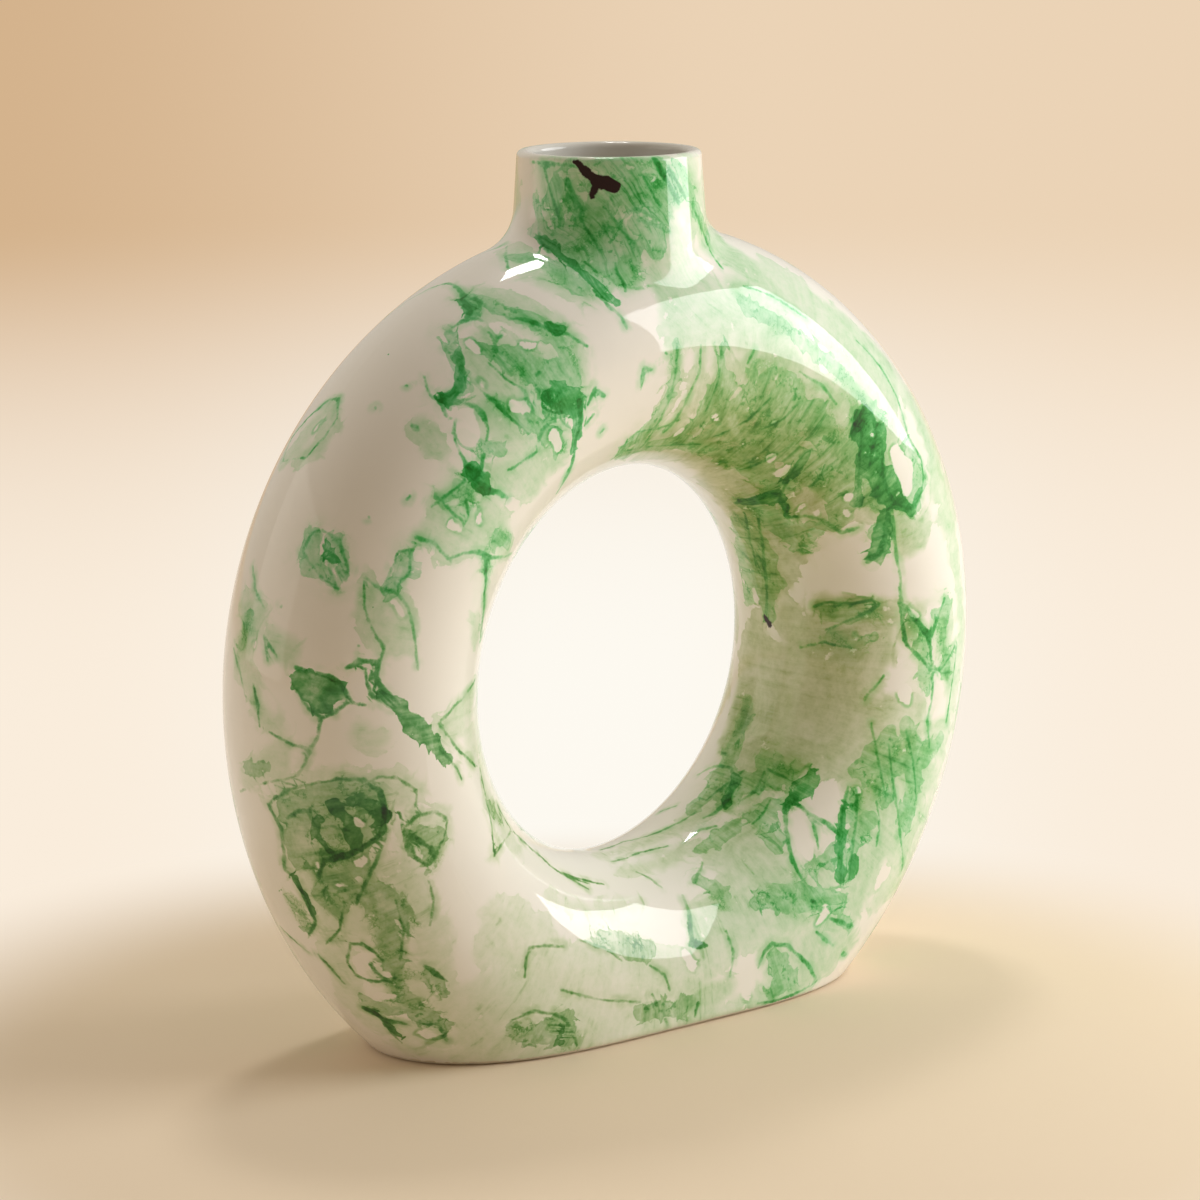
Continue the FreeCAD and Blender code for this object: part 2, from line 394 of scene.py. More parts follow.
def half_shell(name, side, tree, glaze, cutter):
    """One pressed half of the ring: its skin, given the clay's thickness, open for the collar."""
    shell = new_object(name, bpy.data.meshes.new(name))
    skin = shell.modifiers.new("skin", "NODES")
    skin.node_group = tree
    set_inputs(skin, side=side, glaze=glaze)
    mesh = settled(shell)
    if side > 0:
        mesh.flip_normals()
    clay = shell.modifiers.new("clay", "SOLIDIFY")
    clay.thickness = wall
    clay.offset = -1
    opening = shell.modifiers.new("opening", "BOOLEAN")
    opening.operation = "DIFFERENCE"
    opening.solver = "MANIFOLD"
    opening.object = cutter
    settled(shell)
    shell.data.name = name
    return shell


def refined(name, longest):
    """A finer copy of a solid of the frame, so that the brush marks have points to lie on."""
    mesh = bpy.data.meshes.new(name)
    edit = bmesh.new()
    edit.from_mesh(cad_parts[name].data)
    bmesh.ops.remove_doubles(edit, verts=edit.verts, dist=same_point)
    for _ in range(most_divisions):
        long_edges = [edge for edge in edit.edges if edge.calc_length() > longest]
        if not long_edges:
            break
        bmesh.ops.subdivide_edges(edit, edges=long_edges, cuts=1)
        bmesh.ops.triangulate(edit, faces=[face for face in edit.faces if len(face.verts) > 3])
    edit.to_mesh(mesh)
    edit.free()
    return new_object(name + "_piece", mesh)


def solid_tree(names):
    """Search tree over solids of the frame, with the exact normals at their corners."""
    points, triangles, normals = [], [], []
    for name in names:
        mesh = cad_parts[name].data
        base = len(points)
        points += [vertex.co.copy() for vertex in mesh.vertices]
        mesh.calc_loop_triangles()
        corners = [Vector(corner.vector) for corner in mesh.corner_normals]
        for triangle in mesh.loop_triangles:
            triangles.append([base + index for index in triangle.vertices])
            normals.append([corners[loop] for loop in triangle.loops])
    return BVHTree.FromPolygons(points, triangles), points, triangles, normals


def take_normals(piece, solid):
    """Gives a piece the solid's exact normals, so that light runs over the joints unbroken."""
    search, points, triangles, normals = solid_tree([solid])
    mesh = piece.data
    result = []
    for face in mesh.polygons:
        middle = face.center
        own = face.normal
        for loop in face.loop_indices:
            corner = mesh.vertices[mesh.loops[loop].vertex_index].co
            probe = corner.lerp(middle, corner_inset)
            spot, flat, index, _ = search.find_nearest(probe, solid_is_near)
            if spot is None or flat.dot(own) < same_way:
                result.append(own)
                continue
            around = [points[i] for i in triangles[index]]
            shade = barycentric_transform(corner, *around, *normals[index])
            result.append(shade.normalized())
    mesh.shade_smooth()
    mesh.normals_split_custom_set(result)


# The brush marks, read from the whole photograph and from five enlarged parts of it.
# A part is its left edge, its top edge and its enlargement, in the photograph's pixels.
crown_part = (400, 130, 3.92)
right_part = (560, 380, 3.733)
left_part = (210, 380, 3.733)
low_left_part = (230, 740, 3.733)
low_right_part = (560, 740, 3.733)
whole_picture = (0, 0, 1)

# Each mark is a chain of touches of the brush: across, down and half width, in the enlarged part.
# Veils are the palest green, washes are stronger and pools are deep green.
veils = {
    "round the right shoulder's edge": (
        whole_picture,
        ((752, 264, 5), (800, 290, 8), (850, 326, 9), (892, 372, 9), (922, 424, 9), (944, 490, 8)),
        ((944, 490, 8), (956, 560, 5), (962, 640, 5), (958, 720, 6), (940, 800, 7), (905, 870, 7)),
    ),
    # Partly a pale olive veil, partly painted shade and green bounce light inside the hole's rim, at its
    # top and right side.
    "veil and shade along the hole's edge": (
        whole_picture,
        ((604, 474, 3), (640, 457, 5), (690, 457, 7), (726, 478, 8), (748, 516, 8)),
        ((746, 640, 7), (744, 700, 9), (736, 750, 9), (718, 790, 8), (690, 822, 6)),
        ((800, 690, 20), (820, 730, 16)),
    ),
    "along the foot's edge": (
        whole_picture,
        (
            (400, 1046, 6), (500, 1054, 9), (560, 1048, 12), (640, 1034, 12), (720, 1016, 12),
            (800, 992, 10), (850, 970, 8),
        ),
        ((470, 1000, 14), (520, 960, 16), (600, 1000, 18), (690, 985, 12)),
    ),
    "upper cluster, filled in": (
        whole_picture,
        ((470, 296, 8), (520, 312, 12), (566, 340, 12), (578, 380, 10)),
        ((464, 350, 10), (520, 366, 16), (560, 396, 14)),
        ((480, 410, 12), (530, 430, 18), (560, 450, 12)),
        ((500, 476, 10), (540, 470, 14)),
    ),
    # Under the lip: the neck's green, deepened as painted shade under the lip's overhang.
    "under the lip": (
        whole_picture,
        ((548, 172, 4), (580, 166, 5), (620, 164, 6), (660, 164, 6), (696, 170, 4)),
    ),
    "low edge of the hole": (
        whole_picture,
        ((596, 856, 2), (640, 842, 3), (690, 822, 5), (722, 800, 7)),
        ((624, 872, 3), (668, 858, 5), (700, 846, 5)),
        ((486, 800, 4), (520, 850, 3)),
    ),
    "brushed down the crown": (
        whole_picture,
        ((678, 336, 3), (674, 376, 4), (664, 410, 5), (644, 440, 6)),
        ((702, 334, 3), (697, 378, 4), (684, 412, 6), (664, 438, 8)),
        ((724, 334, 6), (717, 384, 8), (702, 418, 9)),
        ((758, 340, 6), (742, 372, 8), (728, 404, 8)),
    ),
    "coat under the neck": (
        crown_part,
        ((556, 170, 30), (600, 300, 56), (680, 420, 74), (800, 520, 74)),
        ((700, 190, 60), (850, 230, 90), (980, 280, 80), (1000, 420, 56)),
        ((1130, 150, 50), (1160, 260, 34)),
        ((600, 200, 60), (720, 300, 120), (840, 430, 100), (880, 560, 64)),
        ((900, 180, 90), (1000, 300, 84), (1000, 440, 64), (1008, 500, 24)),
        ((1110, 160, 50), (1150, 330, 44), (1220, 450, 34)),
        ((440, 470, 30), (520, 540, 50), (620, 590, 45), (715, 640, 35)),
    ),
    "beside the neck, under the light": (
        crown_part,
        ((1060, 420, 40), (1100, 540, 60), (1130, 660, 70), (1110, 800, 50)),
        ((1230, 640, 60), (1330, 740, 60), (1450, 830, 60), (1560, 940, 60)),
        ((1010, 560, 36), (1060, 650, 50), (1080, 750, 44), (1080, 840, 30)),
        ((1150, 540, 46), (1200, 650, 56), (1200, 760, 50), (1265, 820, 40)),
        ((1320, 620, 50), (1420, 700, 60), (1520, 780, 60)),
        ((1340, 820, 40), (1450, 860, 50), (1540, 900, 60)),
    ),
    "right shoulder's slope": (
        crown_part,
        (
            (1220, 420, 40), (1330, 520, 60), (1450, 610, 60), (1568, 690, 60), (1760, 850, 70),
            (1900, 1050, 70),
        ),
        ((1250, 430, 34), (1350, 520, 50), (1450, 600, 50), (1568, 660, 50)),
        ((1440, 520, 20), (1568, 600, 24)),
    ),
    "upper cluster": (
        crown_part,
        ((255, 640, 26), (340, 680, 60), (430, 690, 46), (520, 750, 34), (600, 770, 22)),
        ((330, 830, 40), (300, 900, 50), (330, 980, 40), (430, 1040, 40)),
        ((430, 1230, 46), (500, 1290, 60), (560, 1260, 40), (600, 1180, 40)),
        ((460, 1360, 56), (520, 1400, 36), (540, 1330, 30)),
        ((400, 880, 60), (480, 920, 90), (560, 960, 90), (640, 960, 66), (680, 990, 30)),
    ),
    "crown mass": (
        crown_part,
        ((1120, 1200, 60), (1240, 1100, 60), (1340, 980, 60), (1420, 900, 60)),
        ((1500, 1000, 110), (1480, 1160, 110), (1380, 1260, 60)),
        (
            (870, 1265, 10), (960, 1230, 26), (1060, 1210, 36), (1180, 1190, 54), (1300, 1140, 84),
            (1420, 1050, 96),
        ),
        ((1420, 1050, 96), (1500, 960, 84), (1568, 900, 70)),
        ((1200, 1290, 36), (1330, 1290, 66), (1450, 1240, 84), (1550, 1150, 90)),
        ((1400, 880, 24), (1480, 930, 50)),
        ((900, 1266, 12), (1050, 1278, 14), (1150, 1305, 18), (1250, 1375, 18)),
    ),
    "shoulder mass": (
        right_part,
        ((640, 300, 60), (760, 260, 110), (900, 230, 120), (1020, 260, 110), (1060, 400, 90)),
        ((560, 200, 50), (640, 120, 90), (760, 60, 90), (900, 20, 80)),
        ((560, 330, 30), (640, 400, 60), (760, 430, 60), (860, 470, 40)),
        ((1120, 60, 60), (1200, 180, 80), (1240, 330, 60), (1230, 470, 50)),
        ((1380, 120, 50), (1440, 260, 60), (1460, 420, 60), (1440, 520, 40)),
        ((680, 220, 96), (800, 180, 110), (900, 120, 96), (1000, 90, 90), (1080, 40, 60)),
        ((700, 330, 54), (820, 330, 64), (950, 320, 84), (1040, 380, 70), (1010, 490, 60), (900, 450, 50)),
        ((1100, 330, 50), (1170, 380, 50), (1160, 480, 50)),
        ((1300, 60, 40), (1380, 180, 40), (1400, 300, 44), (1400, 410, 30)),
        ((1450, 300, 30), (1480, 480, 20)),
        ((1270, 530, 36), (1300, 600, 40), (1345, 560, 26), (1368, 500, 10)),
    ),
    "drip in the hole": (
        right_part,
        ((560, 380, 30), (640, 450, 50), (720, 560, 70), (770, 680, 60), (780, 800, 40)),
        ((740, 900, 30), (700, 1040, 50), (690, 1200, 60), (650, 1340, 60)),
        ((640, 470, 22), (690, 540, 36), (740, 640, 46), (780, 760, 44), (782, 860, 30)),
        ((800, 560, 40), (860, 600, 40), (840, 700, 30)),
    ),
    "inside the right limb": (
        right_part,
        ((860, 900, 60), (980, 960, 70), (1100, 960, 60)),
        ((900, 1340, 90), (1040, 1330, 90), (1180, 1280, 80), (1300, 1240, 60)),
        ((960, 840, 20), (1090, 870, 64), (1200, 880, 56), (1240, 850, 20)),
        (
            (720, 960, 30), (760, 1040, 70), (830, 1130, 110), (960, 1090, 140), (1090, 1050, 110),
            (1170, 1000, 70),
        ),
        ((700, 1160, 40), (850, 1260, 120), (1000, 1260, 120), (1130, 1220, 70)),
        ((650, 1360, 30), (760, 1400, 70), (900, 1420, 70), (1060, 1400, 60)),
        ((1180, 1360, 60), (1270, 1330, 60), (1360, 1360, 60), (1440, 1300, 40)),
        ((1300, 940, 30), (1340, 860, 20)),
        ((1440, 900, 34), (1440, 1020, 30), (1470, 1140, 24)),
    ),
    "left limb": (
        left_part,
        ((275, 300, 8), (330, 250, 24), (380, 180, 26), (440, 110, 24), (470, 80, 10)),
        ((340, 284, 16), (400, 255, 16), (440, 190, 14), (465, 120, 10)),
        ((790, 180, 30), (830, 250, 26)),
        ((590, 760, 16), (600, 860, 26), (630, 950, 30), (700, 960, 48), (738, 900, 30), (700, 840, 34)),
        ((130, 820, 32), (170, 880, 42), (130, 980, 40), (115, 1080, 26), (160, 1120, 24), (178, 1220, 12)),
        ((230, 960, 18), (290, 1020, 28), (310, 1010, 16)),
        ((200, 1250, 24), (250, 1290, 18)),
        ((270, 1370, 20), (250, 1420, 32), (180, 1450, 24), (130, 1490, 16)),
        ((620, 1340, 30), (560, 1330, 30)),
    ),
    "fan by the hole": (
        left_part,
        ((880, 430, 16), (930, 405, 26), (962, 440, 22)),
        ((846, 470, 22), (900, 560, 60), (1000, 560, 66), (1080, 560, 36), (1104, 620, 26)),
        ((820, 560, 18), (785, 590, 18)),
        ((885, 640, 26), (930, 640, 20)),
        ((1040, 470, 40), (1080, 520, 30)),
    ),
    "wedge by the hole": (
        left_part,
        ((988, 1130, 8), (966, 1200, 26), (930, 1260, 44), (890, 1300, 40), (856, 1310, 20)),
        ((970, 1330, 22), (978, 1430, 8)),
        ((990, 900, 16), (990, 960, 10)),
    ),
    "low left": (
        low_left_part,
        ((230, 180, 30), (330, 160, 40), (450, 160, 40), (540, 200, 30)),
        ((180, 260, 24), (240, 290, 50), (340, 260, 60), (460, 250, 64), (530, 290, 50)),
        ((230, 380, 36), (320, 370, 60), (420, 400, 60), (500, 440, 40)),
        ((240, 470, 40), (330, 490, 56), (420, 520, 50)),
        ((310, 570, 60), (420, 600, 86), (550, 560, 64), (620, 480, 50)),
        ((560, 170, 26), (640, 180, 46), (694, 190, 20)),
        ((660, 350, 20), (720, 340, 50), (765, 380, 42), (750, 430, 26)),
        ((690, 296, 16), (780, 284, 20), (800, 330, 20)),
        ((640, 500, 40), (680, 620, 64), (740, 700, 60), (760, 800, 50), (800, 880, 24)),
        ((560, 680, 50), (480, 690, 50), (400, 690, 56), (390, 780, 40), (430, 900, 40), (450, 990, 36)),
        ((450, 990, 36), (540, 1050, 40), (650, 1090, 34), (780, 1130, 20), (900, 1120, 16)),
        ((620, 800, 50), (660, 900, 50), (700, 980, 40)),
    ),
    "low middle": (
        low_left_part,
        ((860, 1000, 80), (1000, 980, 90), (1150, 960, 100), (1300, 980, 120), (1500, 980, 140)),
        ((900, 1110, 60), (1060, 1120, 70)),
        ((1000, 700, 50), (1130, 780, 60), (1250, 850, 60)),
        ((830, 950, 34), (900, 1000, 56), (1000, 1050, 60)),
        ((950, 1130, 50), (1030, 1120, 40)),
        ((1060, 1060, 40), (1150, 1090, 60), (1240, 1060, 60), (1290, 1110, 40)),
        ((990, 640, 30), (1080, 680, 54), (1170, 730, 46), (1220, 790, 40)),
        ((935, 750, 14), (955, 800, 26), (1050, 800, 20)),
        ((1130, 860, 60), (1250, 890, 100), (1400, 900, 120), (1568, 920, 130)),
        ((1350, 1040, 50), (1500, 1020, 60)),
        ((1190, 596, 6), (1260, 618, 10), (1380, 640, 10), (1480, 612, 8), (1540, 606, 4)),
        ((940, 130, 8), (960, 200, 16), (1000, 280, 28), (1030, 310, 18)),
        ((1000, 370, 16), (985, 430, 8)),
    ),
    "low right": (
        low_right_part,
        ((560, 700, 90), (700, 600, 110), (860, 620, 90), (960, 560, 60)),
        ((900, 760, 80), (1000, 820, 60)),
        ((1160, 60, 70), (1160, 240, 60), (1160, 420, 60), (1100, 600, 50), (1020, 740, 40)),
        ((1300, 60, 60), (1320, 220, 60), (1290, 380, 50)),
        ((100, 900, 90), (300, 870, 110), (450, 850, 60)),
        ((560, 820, 60), (640, 700, 80), (760, 660, 110), (800, 560, 110), (700, 520, 90)),
        ((620, 430, 60), (700, 390, 80), (770, 430, 60)),
        ((690, 150, 40), (800, 130, 64), (860, 110, 40)),
        ((720, 220, 40), (700, 300, 20)),
        ((400, 990, 40), (560, 960, 40), (620, 920, 30)),
        ((790, 790, 34), (830, 840, 66), (880, 880, 60), (940, 870, 46), (890, 930, 36), (780, 950, 34)),
        ((900, 650, 40), (1000, 700, 50), (1080, 760, 30)),
        ((1120, 150, 50), (1200, 120, 64), (1300, 130, 64), (1390, 150, 40)),
        ((1180, 250, 50), (1260, 270, 56), (1340, 290, 44)),
        ((1200, 360, 44), (1280, 420, 50), (1260, 520, 50), (1180, 600, 30)),
        ((960, 470, 30), (1000, 560, 30)),
    ),
}

washes = {
    "neck": (
        crown_part,
        ((800, 150, 26), (880, 220, 46), (930, 290, 26)),
        ((600, 250, 34), (640, 350, 46), (700, 440, 50), (780, 520, 44), (850, 580, 30)),
        ((760, 320, 30), (830, 400, 40), (900, 480, 40), (925, 560, 30)),
        ((930, 370, 30), (1000, 440, 50), (1008, 490, 22)),
        ((1010, 140, 20), (1060, 200, 24), (1100, 250, 14)),
        ((600, 570, 16), (680, 610, 28), (720, 640, 20)),
        ((900, 600, 18), (870, 560, 20)),
    ),
    "upper cluster": (
        crown_part,
        ((500, 745, 14), (560, 765, 18), (620, 780, 18)),
        ((420, 870, 30), (480, 920, 50), (560, 960, 60), (640, 960, 50), (680, 1000, 26)),
        ((560, 1030, 24), (640, 1040, 34), (690, 1060, 24)),
        ((240, 950, 18), (250, 1010, 18), (180, 1060, 12)),
        ((170, 1440, 10), (230, 1405, 20), (266, 1396, 16), (260, 1470, 12)),
        ((600, 1080, 18), (680, 1100, 20)),
    ),
    "crown brush strokes": (
        crown_part,
        (
            (1085, 850, 10), (1075, 950, 12), (1050, 1050, 14), (1010, 1130, 18), (930, 1200, 22),
            (856, 1268, 8),
        ),
        (
            (1265, 850, 9), (1255, 950, 11), (1220, 1050, 13), (1150, 1150, 18), (1080, 1210, 20),
            (980, 1245, 16),
        ),
        ((1390, 930, 12), (1370, 1020, 22), (1300, 1110, 34), (1200, 1200, 30)),
        ((1500, 1000, 40), (1460, 1120, 50), (1380, 1220, 40), (1290, 1280, 26)),
        ((1568, 1080, 30), (1530, 1200, 26), (1440, 1290, 20)),
    ),
    "shoulder": (
        right_part,
        ((700, 250, 40), (780, 200, 50), (860, 150, 50), (950, 120, 50)),
        ((480, 250, 10), (560, 275, 16), (650, 270, 24), (720, 300, 24)),
        ((930, 330, 50), (1010, 380, 54), (1050, 460, 36), (1030, 530, 26)),
        ((860, 400, 20), (900, 340, 24)),
        ((1110, 160, 34), (1150, 240, 40), (1160, 340, 40), (1180, 430, 30)),
        ((1180, 560, 24), (1188, 620, 26), (1160, 660, 14)),
        ((1240, 450, 16), (1300, 478, 16), (1340, 470, 12)),
        ((720, 560, 24), (760, 660, 30), (790, 770, 30), (780, 870, 22)),
        ((830, 560, 20), (880, 570, 26), (960, 560, 20)),
    ),
    "right limb": (
        right_part,
        ((1160, 960, 20), (1100, 980, 14), (1010, 950, 12)),
        ((1400, 870, 16), (1420, 940, 10)),
        ((1170, 1400, 34), (1230, 1340, 30), (1250, 1440, 34)),
        ((1320, 1330, 22), (1340, 1420, 30), (1420, 1340, 16)),
        ((760, 1430, 24), (840, 1460, 30)),
    ),
    "left limb": (
        left_part,
        ((745, 640, 12), (722, 700, 22), (692, 756, 18), (662, 796, 10)),
        ((395, 575, 18), (378, 632, 28), (390, 690, 22), (430, 726, 18), (468, 766, 7)),
        ((462, 612, 18), (488, 660, 22), (500, 726, 10)),
        ((150, 880, 18), (135, 930, 20), (120, 990, 14)),
        ((150, 1460, 12), (200, 1440, 12)),
        ((1030, 670, 12), (1030, 760, 7), (1020, 850, 6), (1012, 950, 4)),
        ((1060, 600, 14), (1110, 600, 12)),
    ),
    "low left": (
        low_left_part,
        ((360, 250, 30), (440, 240, 46), (520, 250, 36), (560, 300, 18)),
        ((200, 300, 20), (250, 300, 26), (260, 380, 24), (250, 460, 20)),
        ((330, 330, 24), (350, 420, 30), (430, 430, 26)),
        ((216, 590, 16), (256, 640, 22), (294, 712, 14)),
        ((690, 360, 24), (740, 360, 34), (760, 410, 28), (740, 450, 14)),
        ((1060, 1070, 20), (1110, 1090, 30), (1190, 1090, 40), (1240, 1060, 36), (1262, 1120, 28)),
        ((700, 880, 14), (750, 890, 20), (800, 950, 12)),
        ((500, 980, 16), (560, 1010, 16), (640, 1010, 18)),
        ((590, 560, 14), (640, 620, 16), (660, 720, 14)),
        ((970, 230, 8), (1000, 290, 16)),
    ),
    "low right": (
        low_right_part,
        ((635, 150, 16), (625, 215, 16), (590, 250, 10)),
        ((1088, 220, 24), (1084, 320, 26), (1078, 420, 24), (1075, 500, 20)),
        ((1120, 120, 24), (1190, 180, 30), (1150, 80, 20)),
        ((740, 140, 20), (810, 120, 30), (860, 100, 20)),
        ((800, 800, 20), (820, 850, 30), (860, 900, 26), (790, 940, 20)),
        ((1040, 680, 12), (1080, 690, 10)),
        ((930, 480, 14), (950, 500, 12)),
    ),
    # Under the lip: the neck's green, deepened as painted shade under the lip's overhang.
    "under the lip": (
        whole_picture,
        ((566, 167, 2), (600, 164, 3), (640, 163, 4), (680, 165, 3)),
        ((580, 186, 5), (612, 178, 8), (648, 184, 9), (676, 196, 6)),
    ),
    "upper cluster, filled in": (
        whole_picture,
        ((466, 298, 4), (496, 306, 6), (536, 324, 7), (568, 350, 6), (574, 376, 5)),
        ((472, 344, 5), (516, 364, 8), (556, 386, 8)),
        ((500, 404, 5), (536, 424, 8), (562, 446, 6)),
        ((448, 330, 3), (456, 366, 4)),
        ((470, 440, 4), (500, 452, 5)),
    ),
    "down the hole's right edge": (
        whole_picture,
        ((748, 700, 4), (742, 724, 7), (732, 752, 9), (716, 780, 8), (694, 806, 5)),
        ((734, 520, 4), (742, 556, 6), (748, 596, 6)),
    ),
    "left under the neck": (
        whole_picture,
        ((514, 258, 5), (538, 260, 8), (562, 270, 10), (582, 288, 7)),
        ((536, 196, 4), (540, 222, 5), (552, 240, 6), (574, 254, 8)),
    ),
    "low inside the right limb": (
        whole_picture,
        ((738, 790, 5), (766, 780, 9), (792, 770, 7)),
        ((698, 850, 4), (732, 828, 6)),
        ((770, 806, 6), (792, 800, 5)),
    ),
    "neck, filled in": (
        whole_picture,
        ((556, 186, 6), (575, 212, 11), (600, 240, 14), (625, 264, 9)),
        ((598, 200, 8), (640, 188, 13), (664, 212, 9)),
        ((556, 246, 6), (582, 270, 8), (606, 290, 6)),
        ((684, 170, 4), (694, 200, 4), (706, 232, 5)),
    ),
    "over the hole": (
        whole_picture,
        ((620, 456, 3), (645, 447, 7), (680, 443, 9), (715, 450, 10), (745, 464, 12), (775, 484, 13)),
        ((716, 426, 6), (765, 446, 10), (815, 462, 10), (846, 494, 9)),
        ((728, 384, 5), (720, 404, 7), (704, 424, 6)),
        ((770, 372, 5), (756, 396, 9), (740, 420, 9)),
    ),
    "shoulder, filled in": (
        whole_picture,
        ((792, 396, 10), (820, 428, 15), (848, 468, 13)),
        ((858, 424, 12), (874, 462, 12), (878, 500, 10)),
        ((742, 502, 7), (772, 520, 13), (802, 540, 11)),
        ((906, 446, 6), (920, 480, 8), (912, 508, 6)),
        ((740, 300, 5), (790, 330, 5), (840, 372, 5), (880, 420, 5)),
    ),
    "drip, filled in": (whole_picture, ((744, 520, 7), (755, 552, 12), (764, 590, 10), (769, 618, 5))),
    "big patch, low on the left": (
        whole_picture,
        ((286, 806, 10), (325, 798, 13), (362, 798, 13), (376, 812, 8)),
        ((300, 826, 14), (336, 828, 20), (360, 834, 16)),
        ((298, 858, 9), (328, 852, 16), (356, 866, 10)),
        ((300, 808, 8), (340, 816, 12), (366, 836, 8)),
        ((326, 892, 9), (340, 912, 6)),
        ((290, 836, 8), (304, 862, 10), (338, 880, 12), (352, 892, 8)),
        ((404, 1000, 8), (424, 1012, 9), (440, 1030, 8)),
        ((372, 892, 8), (390, 946, 10), (398, 1000, 10)),
        ((416, 834, 8), (432, 838, 9)),
    ),
    "right limb, filled in": (
        whole_picture,
        ((908, 724, 7), (914, 780, 8), (906, 824, 7)),
        ((880, 752, 5), (886, 800, 5)),
        ((912, 620, 5), (924, 644, 7), (926, 690, 6)),
        ((946, 600, 4), (940, 630, 5), (946, 670, 6)),
        ((826, 612, 5), (850, 616, 7), (876, 614, 4)),
    ),
    "low on the right": (
        whole_picture,
        ((818, 864, 5), (848, 852, 7), (872, 820, 5)),
        ((758, 902, 7), (800, 898, 12), (836, 902, 9)),
        ((698, 880, 6), (722, 896, 7)),
        ((756, 812, 8), (776, 840, 9)),
        ((730, 800, 8), (740, 780, 6)),
    ),
    "along the foot": (
        whole_picture,
        ((540, 1034, 7), (566, 1030, 9)),
        ((640, 1012, 6), (692, 1004, 7)),
        ((600, 936, 7), (650, 950, 8)),
    ),
}

pools = {
    "heart of the big patch": (whole_picture, ((332, 804, 3), (352, 824, 6), (356, 846, 4))),
    "shoulder's dark patch": (
        whole_picture,
        ((857, 424, 4), (868, 436, 10), (872, 462, 10), (884, 496, 9)),
        ((892, 470, 5), (898, 500, 6)),
        ((885, 520, 7), (881, 544, 10), (872, 562, 8)),
        ((861, 456, 3), (858, 500, 2)),
        ((890, 504, 3), (912, 509, 3), (921, 490, 2)),
        ((744, 502, 3), (762, 500, 5), (782, 498, 4)),
    ),
    "dark bands of the upper cluster": (
        whole_picture,
        ((544, 401, 3), (561, 403, 5), (576, 411, 4), (579, 436, 3)),
        ((458, 352, 2), (461, 374, 3), (458, 390, 4), (444, 400, 4)),
        ((470, 470, 5), (484, 488, 4)),
        ((464, 300, 3), (470, 314, 4)),
    ),
    "flag": (
        left_part,
        ((325, 1098, 12), (370, 1118, 18), (430, 1138, 20), (480, 1150, 14)),
        ((336, 1140, 16), (376, 1176, 26), (430, 1186, 26), (480, 1172, 16)),
        ((400, 1226, 14), (440, 1232, 14)),
    ),
    "stroke": (
        left_part,
        (
            (640, 1176, 12), (700, 1226, 16), (750, 1280, 20), (800, 1330, 22), (850, 1372, 18),
            (890, 1412, 12),
        ),
    ),
    "leaf's heart": (left_part, ((434, 622, 8), (450, 660, 14), (476, 680, 8))),
    "neck's edge": (
        crown_part,
        ((560, 430, 12), (640, 505, 12), (720, 565, 14), (790, 625, 18), (850, 672, 10)),
    ),
    "cluster": (
        crown_part,
        ((560, 1040, 12), (610, 1022, 16), (670, 1030, 18), (700, 1060, 14)),
        ((704, 1100, 13), (694, 1180, 12), (674, 1260, 10)),
        ((262, 1335, 14), (290, 1315, 18), (312, 1350, 14), (330, 1388, 12)),
        ((232, 950, 12), (240, 1000, 12), (190, 1050, 9)),
        ((590, 765, 16), (630, 785, 10)),
    ),
    "shoulder": (
        right_part,
        ((1140, 105, 10), (1112, 150, 16), (1090, 196, 9)),
        ((1150, 130, 10), (1168, 180, 16), (1156, 260, 12), (1146, 330, 9)),
        ((1196, 190, 14), (1202, 260, 9), (1206, 340, 8), (1226, 440, 10)),
        ((1222, 530, 12), (1212, 600, 16), (1184, 650, 18)),
        ((770, 436, 8), (810, 430, 14), (826, 450, 10)),
        ((840, 380, 12), (884, 336, 12), (926, 272, 9)),
    ),
    "low left": (
        low_left_part,
        ((470, 226, 16), (540, 240, 18), (570, 290, 12), (548, 350, 12)),
        ((328, 300, 9), (322, 350, 10), (366, 420, 10), (420, 436, 10)),
        ((246, 516, 9), (276, 570, 9), (310, 650, 9)),
        ((500, 1000, 10), (550, 1018, 8)),
        ((600, 1066, 6), (636, 1100, 9)),
        ((1226, 1084, 8), (1238, 1130, 8)),
    ),
    "low right": (
        low_right_part,
        ((942, 120, 8), (934, 150, 20), (912, 180, 24), (890, 206, 18)),
        ((862, 232, 9), (842, 268, 7)),
        ((1058, 230, 8), (1050, 330, 9), (1046, 430, 8), (1048, 510, 8)),
        ((1098, 440, 10), (1096, 496, 14)),
        ((650, 140, 8), (640, 190, 10), (622, 236, 8)),
    ),
}

